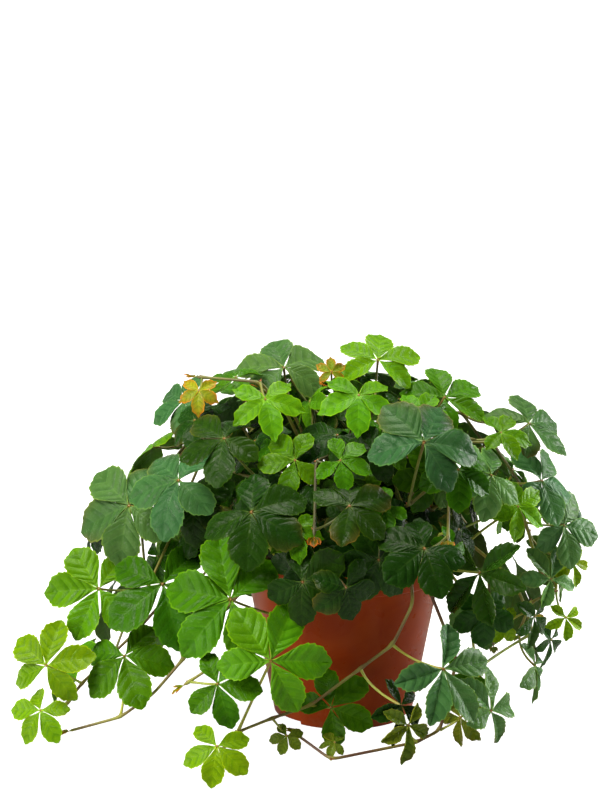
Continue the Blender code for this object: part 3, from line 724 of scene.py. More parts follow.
# The fine leaf, in shares of a leaflet's length, with puffs between the side veins and teeth round its edge
Cut = namedtuple("Cut", "width shoulder base_taper tip_taper teeth tooth")
CUTS = {
    "spread": Cut(0.30, 1.50, 0.88, 0.66, 9, 0.032),
    "folded": Cut(0.30, 1.42, 0.90, 0.72, 9, 0.036),
    "pointed": Cut(0.30, 1.20, 0.90, 0.98, 7, 0.042)}
BROAD_TONES, BROAD = ("deep", "sage", HIDDEN), 1.13
LEAN = 0.85
SIDE_VEINS = 6
FIRST_TOOTH = 0.2
ROWS_A_TOOTH, COLUMNS = 3, 8
PLAIN_ROWS_A_TOOTH, PLAIN_COLUMNS = 2, 6
PLAIN_LENGTH = 26 * MM
PLAINEST_COLUMNS = 4
STALKLET = 0.016
CROWDING, TEETH_GROW, TOOTH_FORWARD, VEIN_BEND = 1.25, 0.25, 0.7, 1.12
WIDTH_PLAY, QUILT_PLAY, LEAFLET_SHADE = (0.96, 1.06), (0.7, 1.2), 0.10
QUILT = 0.026
RIPPLE = 0.026
TWIST = 0.28
ARCH = (0.2, 0.9)
FOLD_PLAY = (-0.10, 0.24)
LEAF_THICKNESS = 0.32 * MM
TIP_CURL = 0.05

# Smaller leaves that fill the crown: where they may stand, and how far they reach from their stems
CROWN_CENTRE = Vector((5, 0, 92)) * MM
CROWN_RADII = Vector((114, 116, 108)) * MM
FILL_DEPTHS, FILL_LIT = (0.42, 0.97), 0.62
FILL_LENGTHS, FILL_REACHES = (11, 23), (0.4, 1.8)
FILL_PAN, FILL_TILT, FILL_SPIN, FILL_LEAN = (-25, 25), (-15, 25), (-80, 80), 0.6
FILL_LOW, FILL_LOWEST, FILL_STEP, FILL_REACH = 96 * MM, 118 * MM, 5 * MM, 24 * MM
FILL_TONES = {"deep": 5, "mid": 3, "fresh": 2}
FILL_TRIES, FILL_COUNT_MOST, FILL_SEED = 6000, 120, 3

# Stems, petioles, tendrils and scales
STEM_ROUND, PETIOLE_ROUND = 9, 7
STEM_FROM, STEM_TO = 1.15 * MM, 0.78 * MM
CORNER, CORNER_SHARE, CORNER_STEPS, STEM_PIECE = 5 * MM, 0.45, 4, 4 * MM
NODE_SWELL, NODE_REACH = 0.5, 2.4 * MM
PETIOLE_THIN, PETIOLE_THICK, LONG_PETIOLE = 0.58 * MM, 0.80 * MM, 45 * MM
PETIOLE_STEPS = 9
TENDRIL_RADIUS, TENDRIL_TRIES, TENDRIL_STEPS, FORK_STEPS = 0.3 * MM, 12, 12, 26
SCALE_LENGTH = 2.1 * MM

# Leaf colours: how each tone's blade looks from above, and how strongly it is quilted
TONES = {
    "bright": ((0.165, 0.285, 0.003), 0.55),
    "lime": ((0.105, 0.260, 0.004), 0.6),
    "fresh": ((0.072, 0.200, 0.003), 1.0),
    "mid": ((0.048, 0.160, 0.003), 0.95),
    "deep": ((0.014, 0.046, 0.004), 0.8),
    "bronze": ((0.270, 0.290, 0.012), 0.3),
    "olive": ((0.165, 0.205, 0.014), 0.6),
    # The sage tone is partly the leaf's own grey-green and partly a painted sheen: its blue is raised for
    # leaves that face up towards the lights
    "sage": ((0.060, 0.148, 0.042), 0.8),
    # The hidden tone is the deep green, given to leaves inside the crown partly as painted shade there
    HIDDEN: ((0.014, 0.046, 0.004), 0.8),
}
YOUNG_TIP = (0.42, 0.10, 0.012)
BLUSH = (0.085, 0.055, 0.015)
BLUSH_CHANCE = {"deep": 0.2, "olive": 0.8, "sage": 0.15, "bright": 0.2}
STEM_GREEN = (0.34, 0.37, 0.05)
STEM_PURPLE = (0.13, 0.055, 0.025)
PETIOLE_GREEN = (0.38, 0.44, 0.06)
SCALE_RED = (0.40, 0.14, 0.06)
UPPER, UNDER, BARK = range(3)
LOOK_SEED = 5


def new_object(name, data):
    made = bpy.data.objects.new(name, data)
    bpy.context.scene.collection.objects.link(made)
    return made


class Piece:
    """The points, faces, surface coordinates, colours and materials gathered for one piece."""

    def __init__(self):
        self.points, self.corners, self.sizes = [], [], []
        self.kinds, self.uvs, self.tones = [], [], []
        self.count = 0

    def add(self, points, faces, uvs, tone, kinds):
        """Adds points with faces given as flat corners and sizes, and one colour or one for each point."""
        corners, sizes = faces
        self.points.append(np.asarray(points, float))
        self.corners.append(corners + self.count)
        self.sizes.append(sizes)
        self.uvs.append(np.asarray(uvs, float))
        self.tones.append(np.broadcast_to(np.asarray(tone, float), (len(points), 3)))
        self.kinds.append(np.broadcast_to(np.asarray(kinds), (len(sizes),)))
        self.count += len(points)

    def build(self, name, materials):
        points, corners = np.concatenate(self.points), np.concatenate(self.corners)
        sizes, tones = np.concatenate(self.sizes), np.concatenate(self.tones)
        mesh = bpy.data.meshes.new(name)
        mesh.vertices.add(len(points))
        mesh.vertices.foreach_set("co", points.astype(np.float32).ravel())
        mesh.loops.add(len(corners))
        mesh.loops.foreach_set("vertex_index", corners.astype(np.int32))
        mesh.polygons.add(len(sizes))
        mesh.polygons.foreach_set("loop_start", (np.cumsum(sizes) - sizes).astype(np.int32))
        mesh.polygons.foreach_set("material_index", np.concatenate(self.kinds).astype(np.int32))
        mesh.update(calc_edges=True)
        layer = mesh.uv_layers.new(name="UVMap")
        layer.data.foreach_set("uv", np.concatenate(self.uvs)[corners].astype(np.float32).ravel())
        colours = np.concatenate([tones, np.ones((len(tones), 1))], axis=1)
        tone = mesh.attributes.new("tone", "FLOAT_COLOR", "POINT")
        tone.data.foreach_set("color", colours.astype(np.float32).ravel())
        for material in materials:
            mesh.materials.append(material)
        mesh.shade_smooth()
        mesh.set_sharp_from_angle(angle=math.radians(55))
        return new_object(name, mesh)


def flat_faces(faces):
    """Faces given as tuples, as flat corners and sizes."""
    return np.array([c for face in faces for c in face]), np.array([len(face) for face in faces])


SHELLS = {}


def shell_faces(rows, columns):
    """A leaflet's faces: a grid of rows and a tip above, the same turned over below, and its edge."""
    if (rows, columns) not in SHELLS:
        tip, count = rows * columns, rows * columns + 1
        starts = [i * columns + j for i in range(rows - 1) for j in range(columns - 1)]
        upper = [(at, at + columns, at + columns + 1, at + 1) for at in starts]
        last = (rows - 1) * columns
        upper += [(last + j, tip, last + j + 1) for j in range(columns - 1)]
        under = [tuple(count + c for c in reversed(face)) for face in upper]
        loop = [i * columns for i in range(rows)] + [tip]
        loop += [i * columns + columns - 1 for i in reversed(range(rows))]
        loop += list(range(columns - 2, 0, -1))
        edge = [(a, count + a, count + b, b) for a, b in zip(loop, loop[1:] + loop[:1])]
        kinds = [UPPER] * len(upper) + [UNDER] * len(under) + [UPPER] * len(edge)
        SHELLS[rows, columns] = flat_faces(upper + under + edge), np.array(kinds)
    return SHELLS[rows, columns]


def half_width(forward, cut):
    """How wide a leaflet is on each side of its rib: a wedge, broadest past the middle, then rounded."""
    taper = cut.base_taper + (cut.tip_taper - cut.base_taper) * forward
    return cut.width * np.clip(np.sin(math.pi * np.clip(forward, 0, 1) ** cut.shoulder), 0, 1) ** taper


def leaflet_tones(colour, tone, along, out, rng):
    """A leaflet's colour at each point: young tips redden, and some older leaves have a brown blush."""
    share = np.zeros(along.shape)
    other = np.array(YOUNG_TIP if tone == "bronze" else BLUSH)
    if tone == "bronze":
        share = np.clip(0.7 * along ** 2 + 0.7 * out ** 2 - 0.3, 0, 1)
    elif rng.random() < BLUSH_CHANCE.get(tone, 0):
        share = rng.uniform(0.2, 0.75) * np.clip(out * 1.6 - 0.7, 0, 1) * np.clip(along * 2 - 0.6, 0, 1)
    share = share[:, None]
    return np.array(colour) * (1 - share) + other * share


def add_leaflet(form, blade, leaflet, colour, quilt, rng, plain):
    cut = CUTS[next(name for name, kind in FORMS.items() if kind.width == leaflet.width)]
    rows = (PLAIN_ROWS_A_TOOTH if plain else ROWS_A_TOOTH) * cut.teeth
    columns = (PLAINEST_COLUMNS if blade.tone == HIDDEN else PLAIN_COLUMNS if plain else COLUMNS) + 1
    e = np.linspace(0, 1, rows + 1)[:-1][:, None]
    v = np.linspace(-1, 1, columns)[None, :]
    outer = 1 - (1 - e) ** CROWDING
    wide = half_width(outer, cut) * leaflet.width * rng.uniform(*WIDTH_PLAY)
    if blade.tone in BROAD_TONES:
        wide *= BROAD
    inner = outer - LEAN * wide
    saw = (e * cut.teeth) % 1.0
    tooth = cut.tooth * saw * np.clip((e - FIRST_TOOTH) / TEETH_GROW, 0, 1)
    reach = np.maximum(wide + tooth, STALKLET)
    out = np.abs(v)
    x = inner + (outer + tooth * TOOTH_FORWARD - inner) * out ** VEIN_BEND
    y = v * reach
    lift = quilt * QUILT * np.abs(np.sin(math.pi * e * SIDE_VEINS)) * np.sin(math.pi * out ** 0.9) ** 0.7
    lift = lift * np.clip(e * 3, 0, 1)
    sway = [rng.uniform(0, math.tau), rng.uniform(0, math.tau), rng.uniform(1.1, 1.9), rng.uniform(0.5, 1.3)]
    side = np.where(v < 0, sway[0], sway[1])
    ripple = RIPPLE * sway[3] * np.sin(math.tau * sway[2] * x + side) * out ** 2
    fold = leaflet.fold + rng.uniform(*FOLD_PLAY)
    z = fold * np.abs(y) + leaflet.roll * y - leaflet.droop * x ** 2 + lift + ripple
    z = z - (rng.uniform(*ARCH) if blade.tone in BROAD_TONES else 0) * y ** 2
    twist = TWIST * rng.uniform(-1, 1)
    curled = TIP_CURL * rng.uniform(-0.4, 1)
    z = z + twist * x * y - curled * np.clip(x - 0.6, 0, 1) ** 2 * 3
    tip_z = -leaflet.droop - TIP_CURL * 0.4
    x = np.append(x.ravel(), 1.0 + cut.tooth)
    y = np.append(y.ravel(), 0.0)
    z = np.append(z.ravel(), 0.5 * (tip_z + z.ravel()[-columns // 2 - 1]))
    forward = np.append((e + 0 * v).ravel(), 1.0)
    uv = np.stack([forward, np.append((0.5 + 0.5 * v + 0 * e).ravel(), 0.5)], axis=1)
    turn = math.radians(leaflet.turn)
    ahead = leaflet.length * (x * math.cos(turn) - y * math.sin(turn))
    left = leaflet.length * (x * math.sin(turn) + y * math.cos(turn))
    along, across, normal = (np.array(way) for way in (blade.along, blade.side, blade.normal))
    top = np.array(blade.place) + blade.length * (np.outer(ahead, along) + np.outer(left, across)
                                                  + np.outer(z, normal))
    grid = top[:-1].reshape(rows, columns, 3)
    facing = np.cross(np.gradient(grid, axis=0), np.gradient(grid, axis=1)).reshape(-1, 3)
    facing = np.append(facing / np.linalg.norm(facing, axis=1)[:, None], [normal], axis=0)
    faces, kinds = shell_faces(rows, columns)
    points = np.concatenate([top, top - facing * LEAF_THICKNESS])
    tones = leaflet_tones(colour, blade.tone, forward, np.append((out + 0 * e).ravel(), 0.5), rng)
    form.add(points, faces, np.concatenate([uv, uv]), np.concatenate([tones, tones]), kinds)


def varied(colour, rng, play=0.14):
    """A colour a little lighter or darker and a little yellower or bluer."""
    light = 1 + rng.uniform(-play, play)
    warm = rng.uniform(-play, play)
    return [colour[0] * light * (1 + warm), colour[1] * light, colour[2] * light * (1 - warm)]


def add_leaf(form, blade, root, tone, light, painted_leaf_light, rng):
    colour, quilt = TONES[tone]
    plain = blade.tone == HIDDEN or blade.length < PLAIN_LENGTH
    # The shoot's scale here is painted light or shade: the leaf colour made lighter or darker for how the
    # light falls on the shoot
    colour = [channel * painted_leaf_light for channel in varied(colour, rng)]
    for leaflet in blade.leaflets:
        shade = varied(colour, rng, LEAFLET_SHADE)
        add_leaflet(form, blade, leaflet, shade, quilt * rng.uniform(*QUILT_PLAY), rng, plain)
    add_petiole(form, blade, root, light, rng)


def add_tube(form, path, radii, sides, tone, kind=BARK):
    """A round tube along the path, closed by a flat face at each end."""
    path = [Vector(p) for p in path]
    points, faces = tube(path, radii, sides)
    count = len(path)
    uvs = np.array([(i / count, side / sides) for i in range(count) for side in range(sides)])
    tones = np.repeat(np.broadcast_to(np.asarray(tone, float), (count, 3)), sides, axis=0)
    form.add([tuple(p) for p in points], flat_faces(faces), uvs, tones, kind)


def curve(start, control, end, steps):
    """Points of a smooth curve from start to end, drawn towards its control point."""
    shares = [step / steps for step in range(steps + 1)]
    return [start.lerp(control, t).lerp(control.lerp(end, t), t) for t in shares]


def rounded(path, reach, steps):
    """The path with each corner turned in a short curve."""
    made = [path[0]]
    for before, corner, after in zip(path, path[1:], path[2:]):
        back, ahead = before - corner, after - corner
        start = corner + back.normalized() * min(reach, back.length * CORNER_SHARE)
        end = corner + ahead.normalized() * min(reach, ahead.length * CORNER_SHARE)
        made += curve(start, corner, end, steps)
    return made + [path[-1]]


def add_petiole(form, blade, root, light, rng):
    """A leaf stalk that swells where it joins the stem and the blade."""
    start, bend, end = petiole_path(blade, root)
    control = bend * 2 - (start + end) / 2
    path = [blade.place + blade.normal * 0.5 * MM, *curve(start, control, end, PETIOLE_STEPS)]
    thick = PETIOLE_THIN + (PETIOLE_THICK - PETIOLE_THIN) * min((start - end).length / LONG_PETIOLE, 1)
    radii = [thick * 0.6, thick * 1.2] + [thick] * (PETIOLE_STEPS - 2) + [thick * 1.15, thick * 1.45]
    # light darkens the stalk's green as painted shade inside the crown
    green, red = np.array(varied(PETIOLE_GREEN, rng)) * light, np.array(SCALE_RED)
    share = np.clip(1 - np.arange(len(path)) / 3, 0, 1)[:, None] * 0.7
    add_tube(form, path, radii, PETIOLE_ROUND, green * (1 - share) + red * share)


def add_stem(form, path, nodes, purple, light, rng):
    """A stem that thins towards its tip and swells at each node."""
    route = rounded(path, CORNER, CORNER_STEPS)
    fine = []
    for before, after in zip(route, route[1:]):
        pieces = max(1, round((after - before).length / STEM_PIECE))
        fine += [before.lerp(after, i / pieces) for i in range(pieces)]
    fine.append(route[-1])
    last = len(fine) - 1
    radii, tones = [], []
    for index, point in enumerate(fine):
        radius = STEM_FROM + (STEM_TO - STEM_FROM) * index / last
        near = min(((point - node).length for node in nodes), default=1)
        swell = math.exp(-(near / NODE_REACH) ** 2)
        radii.append(radius * (1 + NODE_SWELL * swell))
        share = min(max(purple + 0.25 * math.sin(index * 0.7) - 0.5 * swell * purple, 0), 1)
        # light darkens the stem's colour as painted shade inside the crown
        tones.append((np.array(STEM_GREEN) * (1 - share) + np.array(STEM_PURPLE) * share) * light)
    radii[-1] = 0.2 * MM
    add_tube(form, fine, radii, STEM_ROUND, tones)


def add_scale(form, node, way, rng):
    """A small pointed scale at a node."""
    path = [node, node + way * SCALE_LENGTH * 0.5, node + way * SCALE_LENGTH + Vector((0, 0, 0.4 * MM))]
    add_tube(form, path, [0.55 * MM, 0.45 * MM, 0.06 * MM], 5, varied(SCALE_RED, rng))


def curl(start, way, turn_about, length, steps, loose, tight):
    """A line that runs on from start and curls up more and more."""
    path = [start]
    step = length / steps
    for index in range(steps):
        share = index / steps
        bend = (loose + (tight - loose) * share ** 2.5) * step
        axis = turn_about.normalized()
        way = (way * math.cos(bend) + axis.cross(way) * math.sin(bend)).normalized()
        path.append(path[-1] + way * step + axis * 0.06 * step)
    return path, way


def add_tendril(form, name, node, standing, rng):
    """A thin forked tendril that curls at its ends, where one can grow without crossing anything."""
    colour = varied(PETIOLE_GREEN, rng)
    outward = Vector((node.x, node.y, 0)).normalized()
    for _ in range(TENDRIL_TRIES):
        way = (outward + Vector([rng.uniform(-0.7, 0.7) for _ in range(3)])).normalized()
        about = Vector([rng.uniform(-1, 1) for _ in range(3)])
        about = (about - way * about.dot(way)).normalized()
        line, end_way = curl(node, way, about, rng.uniform(10, 18) * MM, TENDRIL_STEPS, 20, 40)
        forks = [curl(line[-1], end_way, about * turn, rng.uniform(13, 20) * MM, FORK_STEPS, 30, 900)[0]
                 for turn in (-1, 1)]
        if any(standing.meets(tube(path, [MM] * len(path), 3), name) for path in (line, *forks)):
            continue
        if min(point.z for path in forks for point in path) < MM:
            continue
        for path, thick, thinner in ((line, 1.5, 0.5), (forks[0], 1, 0.6), (forks[1], 1, 0.6)):
            last = len(path) - 1
            radii = [TENDRIL_RADIUS * (thick - thinner * i / last) for i in range(last + 1)]
            add_tube(form, path, radii, 5, colour)
        return


def add_bud(form, name, end, way, light, standing, rng):
    """The young end of a shoot, where it crosses nothing: three tiny leaflets still folded together."""
    side = way.cross(Vector((0, 0, 1))).normalized() if abs(way.z) < 0.95 else Vector((1, 0, 0))
    normal = side.cross(way).normalized()
    pointed = FORMS["pointed"]
    leaflets = [Leaflet(turn, length, pointed.width, pointed.fold, rng.uniform(-0.3, 0.1), 0)
                for turn, length in ((-34, 0.8), (0, 1), (34, 0.8))]
    blade = Blade(end, normal, way, normal.cross(way), rng.uniform(5, 8) * MM, leaflets, "bronze")
    if standing.meets(thick_blade(blade), name):
        return
    colour, quilt = TONES["bronze" if rng.random() < 0.4 else "bright"]
    for leaflet in leaflets:
        # light darkens the bud's colour as painted shade inside the crown
        shade = varied([channel * light for channel in colour], rng)
        add_leaflet(form, blade, leaflet, shade, quilt, rng, True)


class Shade:
    """A material's node tree with short calls for the nodes that it uses."""

    def __init__(self, name):
        self.material = bpy.data.materials.new(name)
        self.material.use_nodes = True
        self.tree = self.material.node_tree
        self.shader = self.tree.nodes["Principled BSDF"]

    def feed(self, value, socket):
        """Links another node's output to the socket, or gives it a plain value."""
        if isinstance(value, bpy.types.NodeSocket):
            self.tree.links.new(value, socket)
        else:
            socket.default_value = value

    def node(self, kind, inputs, output=0, **settings):
        made = self.tree.nodes.new(kind)
        for key, value in settings.items():
            setattr(made, key, value)
        for key, value in inputs.items():
            self.feed(value, made.inputs[key])
        return made.outputs[output]

    def place(self, kind="Object"):
        return self.node("ShaderNodeTexCoord", {}, output=kind)

    def parts(self, kind="Object"):
        """The separate numbers of a place in the object's space or on its surface."""
        made = self.tree.nodes.new("ShaderNodeSeparateXYZ")
        self.feed(self.place(kind), made.inputs[0])
        return made.outputs

    def math(self, operation, *values):
        return self.node("ShaderNodeMath", dict(enumerate(values)), operation=operation)

    def band(self, value, low, high, start=0.0, end=1.0):
        """Runs smoothly from start to end as the value goes from low to high."""
        inputs = {"Value": value, "From Min": low, "From Max": high, "To Min": start, "To Max": end}
        return self.node("ShaderNodeMapRange", inputs, interpolation_type="SMOOTHSTEP")

    def mix(self, share, one, other, blend="MIX"):
        made = self.tree.nodes.new("ShaderNodeMix")
        made.data_type, made.blend_type = "RGBA", blend
        for number, value in ((0, share), (6, one), (7, other)):
            self.feed((*value, 1) if isinstance(value, tuple) else value, made.inputs[number])
        return made.outputs[2]

    def lay(self, share, strength, colour, other, blend="MULTIPLY"):
        """The colour with another laid over it, where and as strongly as the share and strength say."""
        return self.mix(self.math("MULTIPLY", share, strength), colour, other, blend)

    def noise(self, scale, detail=2.0, roughness=0.5, distortion=0.0):
        return self.node("ShaderNodeTexNoise", {"Vector": self.place(), "Scale": scale, "Detail": detail,
                                                "Roughness": roughness, "Distortion": distortion})

    def bump(self, height, strength, distance):
        made = self.node("ShaderNodeBump", {"Height": height, "Strength": strength, "Distance": distance})
        self.tree.links.new(made, self.shader.inputs["Normal"])

    def set(self, **values):
        for key, value in values.items():
            self.feed(value, self.shader.inputs[key.replace("_", " ")])


CRUMPLE = 7.0


def leaf_material(name, under):
    """A leaf's face: side veins, a pale rib and margin, mottled tissue, and on the upper face a band of
    painted shade just past each side vein.
    """
    shade = Shade(name)
    tone = shade.node("ShaderNodeAttribute", {}, attribute_name="tone")
    along, across, _ = shade.parts("UV")
    out = shade.math("ABSOLUTE", shade.math("MULTIPLY_ADD", across, 2.0, -1.0))
    phase = shade.math("MULTIPLY", along, float(SIDE_VEINS))
    beside = shade.math("PINGPONG", phase, 0.5)
    saw = shade.math("FRACT", phase)
    vein = shade.math("MULTIPLY", shade.band(beside, 0.13, 0.03), shade.band(out, 0.99, 0.7))
    rib = shade.math("MULTIPLY", shade.band(out, 0.08, 0.02), shade.band(along, 0.95, 0.5))
    # Painted shade: a darker band just past each side vein, where the quilted tissue dips between veins
    painted_groove_shade = shade.math("MULTIPLY", shade.band(saw, 0.65, 0.05), shade.band(out, 1.0, 0.6))
    margin = shade.band(out, 0.91, 0.97)
    base = shade.band(along, 0.05, 0.01)
    stalk = shade.band(along, 0.16, 0.06)
    mottle = shade.band(shade.noise(240, 3.0, 0.6), 0.3, 0.7)
    patch = shade.band(shade.noise(70, 2.0, 0.5), 0.3, 0.7, 0.0, 0.35)
    colour = shade.lay(mottle, 0.30, tone, (0.62, 0.75, 0.5))
    colour = shade.mix(patch, colour, (0.55, 0.62, 0.5), "MULTIPLY")
    if under:
        colour = shade.mix(0.4, colour, (0.13, 0.24, 0.05))
    else:
        # The painted shade of the quilting's grooves darkens the upper face only
        colour = shade.lay(painted_groove_shade, 0.55, colour, (0.38, 0.54, 0.45))
    colour = shade.lay(vein, 0.22, colour, (1.5, 1.45, 1.6))
    colour = shade.lay(margin, 0.8, colour, (2.3, 1.75, 1.2))
    pale = shade.mix(0.06, shade.mix(1.0, colour, (1.8, 1.6, 1.8), "MULTIPLY"), (0.42, 0.52, 0.14))
    colour = shade.lay(rib, 0.3, colour, pale, "MIX")
    pale = shade.mix(0.16, shade.mix(1.0, colour, (2.2, 2.0, 2.2), "MULTIPLY"), (0.42, 0.52, 0.20))
    colour = shade.lay(stalk, 0.6, colour, pale, "MIX")
    colour = shade.lay(base, 0.8, colour, (0.20, 0.08, 0.02), "MIX")
    cells = shade.node("ShaderNodeTexVoronoi", {"Vector": shade.place(), "Scale": 700.0},
                       feature="DISTANCE_TO_EDGE")
    height = shade.math("MULTIPLY_ADD", shade.band(cells, 0.0, 0.25), 0.5, shade.noise(1500, 1.0))
    height = shade.math("MULTIPLY_ADD", shade.math("MAXIMUM", vein, rib), 1.2 if under else -1.2, height)
    height = shade.math("MULTIPLY_ADD", shade.noise(190, 2.0, 0.5, 0.6), CRUMPLE, height)
    shade.bump(height, 0.35, 0.00025)
    rough = shade.band(shade.noise(500, 2.0), 0.3, 0.7, 0.50 if under else 0.18, 0.66 if under else 0.30)
    shade.set(Base_Color=colour, Roughness=rough, Specular_IOR_Level=0.05 if under else 0.08,
              Subsurface_Weight=0.08, Subsurface_Scale=0.0012, Subsurface_Radius=(0.6, 1.0, 0.2))
    return shade.material


def bark_material():
    """Stems, stalks, tendrils and scales: streaked along their length."""
    shade = Shade("stem_skin")
    tone = shade.node("ShaderNodeAttribute", {}, attribute_name="tone")
    streak = shade.band(shade.noise(420, 3.0, 0.6), 0.35, 0.65)
    colour = shade.lay(streak, 0.4, tone, (0.75, 0.55, 0.45))
    shade.bump(shade.noise(900, 2.0), 0.3, 0.0002)
    shade.set(Base_Color=colour, Roughness=0.45, Subsurface_Weight=0.1, Subsurface_Scale=0.0015)
    return shade.material


def plastic_material():
    """Satin moulded plastic, with faint flow marks and a little dust near the foot."""
    shade = Shade("terracotta_plastic")
    flow = shade.band(shade.noise(28, 4.0, 0.6, 1.5), 0.3, 0.7)
    colour = shade.mix(flow, (0.310, 0.035, 0.003), (0.360, 0.050, 0.005))
    low = shade.band(shade.parts()[2], 0.018, 0.0)
    dust = shade.math("MULTIPLY", low, shade.band(shade.noise(160, 4.0), 0.4, 0.75))
    colour = shade.lay(dust, 0.25, colour, (0.20, 0.11, 0.07), "MIX")
    rough = shade.band(shade.noise(90, 3.0), 0.3, 0.7, 0.26, 0.36)
    shade.bump(shade.noise(1200, 2.0), 0.08, 0.0002)
    shade.set(Base_Color=colour, Roughness=rough, Specular_IOR_Level=0.10, Sheen_Weight=0.34,
              Sheen_Roughness=0.35, Sheen_Tint=(1, 0.55, 0.45, 1))
    return shade.material


def soil_material():
    shade = Shade("moist_peat")
    grain = shade.band(shade.noise(300, 5.0, 0.7), 0.3, 0.75)
    colour = shade.mix(grain, (0.014, 0.009, 0.006), (0.075, 0.045, 0.026))
    shade.bump(shade.noise(900, 4.0, 0.7), 0.8, 0.001)
    shade.set(Base_Color=colour, Roughness=0.95, Specular_IOR_Level=0.2)
    return shade.material


# The fine pot and soil
FINE_POT_SIDES = 180
LIP_ROUND = 0.7 * MM
FOOT_ROUND = 1.0 * MM
FINE_SOIL_SIDES, FINE_SOIL_RINGS = 96, 34
CRUMBS = 420
CRUMB_SIZES = (0.9 * MM, 2.4 * MM)


def arc(centre, radius, start, end, steps):
    """Points of a round corner of a profile, from one angle to another in degrees."""
    turns = [math.radians(start + (end - start) * i / steps) for i in range(steps + 1)]
    return [(centre[0] + radius * math.cos(t), centre[1] + radius * math.sin(t)) for t in turns]


def fine_pot(material):
    """The pot with rounded edges, cut by its drain slots."""
    step = POT_HEIGHT - COLLAR_HEIGHT
    shoulder = wall_radius(step)
    collar = shoulder + COLLAR_STEP
    profile = [(0, 0)] + arc((BASE_RADIUS - FOOT_ROUND, FOOT_ROUND), FOOT_ROUND, -90, -8, 5)
    profile += [(shoulder - 0.3 * MM, step - 1.2 * MM), (shoulder, step - 0.2 * MM)]
    profile += [(shoulder + 0.4 * MM, step), (collar - 0.5 * MM, step + LIP)]
    profile += [(collar, step + LIP + 0.5 * MM), (collar + 0.2 * MM, step + LIP + 1.5 * MM)]
    profile += arc((RIM_RADIUS - LIP_ROUND, POT_HEIGHT - LIP_ROUND), LIP_ROUND, 0, 180, 8)
    profile += [(collar - WALL, step + WALL + LIP), (shoulder - WALL, step + WALL),
                (wall_radius(WALL) - WALL, WALL), (0, WALL)]
    pot = mesh_object("pot_shell", turned(profile, FINE_POT_SIDES))
    group = bpy.data.collections.new("drains")
    bpy.context.scene.collection.children.link(group)
    for cutter in [mesh_object("drain", drain_block(number)) for number in range(DRAIN_COUNT)]:
        bpy.context.scene.collection.objects.unlink(cutter)
        group.objects.link(cutter)
    boolean = pot.modifiers.new("drains", "BOOLEAN")
    boolean.operation, boolean.operand_type, boolean.collection = "DIFFERENCE", "COLLECTION", group
    graph = bpy.context.evaluated_depsgraph_get()
    mesh = bpy.data.meshes.new_from_object(pot.evaluated_get(graph))
    pot.modifiers.clear()
    pot.data = mesh
    for cutter in list(group.objects):
        bpy.data.objects.remove(cutter)
    bpy.data.collections.remove(group)
    mesh.materials.clear()
    mesh.materials.append(material)
    mesh.shade_smooth()
    mesh.set_sharp_from_angle(angle=math.radians(35))
    return pot


def drain_block(number):
    turn = math.radians(DRAIN_TURN + 360 * number / DRAIN_COUNT)
    out, over = Vector((math.cos(turn), math.sin(turn), 0)), Vector((-math.sin(turn), math.cos(turn), 0))
    corners = []
    for height in (-DRAIN_HEIGHT, DRAIN_HEIGHT):
        for reach, width in ((-DRAIN_DEPTH, -1), (DRAIN_DEPTH, -1), (DRAIN_DEPTH, 1), (-DRAIN_DEPTH, 1)):
            corner = out * (BASE_RADIUS + reach) + over * (width * DRAIN_WIDTH / 2)
            corners.append(corner + Vector((0, 0, height)))
    sides = [(i, (i + 1) % 4, (i + 1) % 4 + 4, i + 4) for i in range(4)]
    return corners, [(0, 1, 2, 3), (4, 5, 6, 7), *sides]


def mesh_object(name, solid):
    mesh = bpy.data.meshes.new(name)
    mesh.from_pydata([tuple(p) for p in solid[0]], [], solid[1])
    bm = bmesh.new()
    bm.from_mesh(mesh)
    bmesh.ops.recalc_face_normals(bm, faces=bm.faces)
    bm.to_mesh(mesh)
    bm.free()
    return new_object(name, mesh)


def fine_soil(material, rng):
    """The root ball, with an uneven top strewn with crumbs."""
    profile = soil_profile()
    edge = profile[3][0]
    rings = dome(edge, FINE_SOIL_RINGS)
    points, faces = turned([*profile[:4], *rings, (0, SOIL_TOP + SOIL_DOME)], FINE_SOIL_SIDES)
    first = 2 + 3 * FINE_SOIL_SIDES
    waves = [(rng.uniform(60, 900), rng.uniform(0, math.tau), rng.uniform(0, math.tau)) for _ in range(14)]
    for index in range(first, len(points)):
        point = points[index]
        rough = sum(math.sin(point.x * k * math.cos(turn) + point.y * k * math.sin(turn) + shift)
                    / (1 + k / 200) for k, turn, shift in waves)
        inward = min(1, (edge - math.hypot(point.x, point.y)) / (4 * MM))
        point.z += inward * rough * 0.5 * MM
    form = Piece()
    form.add([tuple(p) for p in points], flat_faces(faces), np.zeros((len(points), 2)), (0, 0, 0), 0)
    for _ in range(CRUMBS):
        reach, turn = (edge - 3 * MM) * math.sqrt(rng.random()), rng.uniform(0, math.tau)
        size = rng.uniform(*CRUMB_SIZES)
        height = SOIL_TOP + SOIL_DOME * math.sin(math.pi / 2 * (1 - reach / edge)) + size * 0.1
        add_crumb(form, around(turn, reach, height), size, rng)
    return form.build("soil_crumbs", [material])


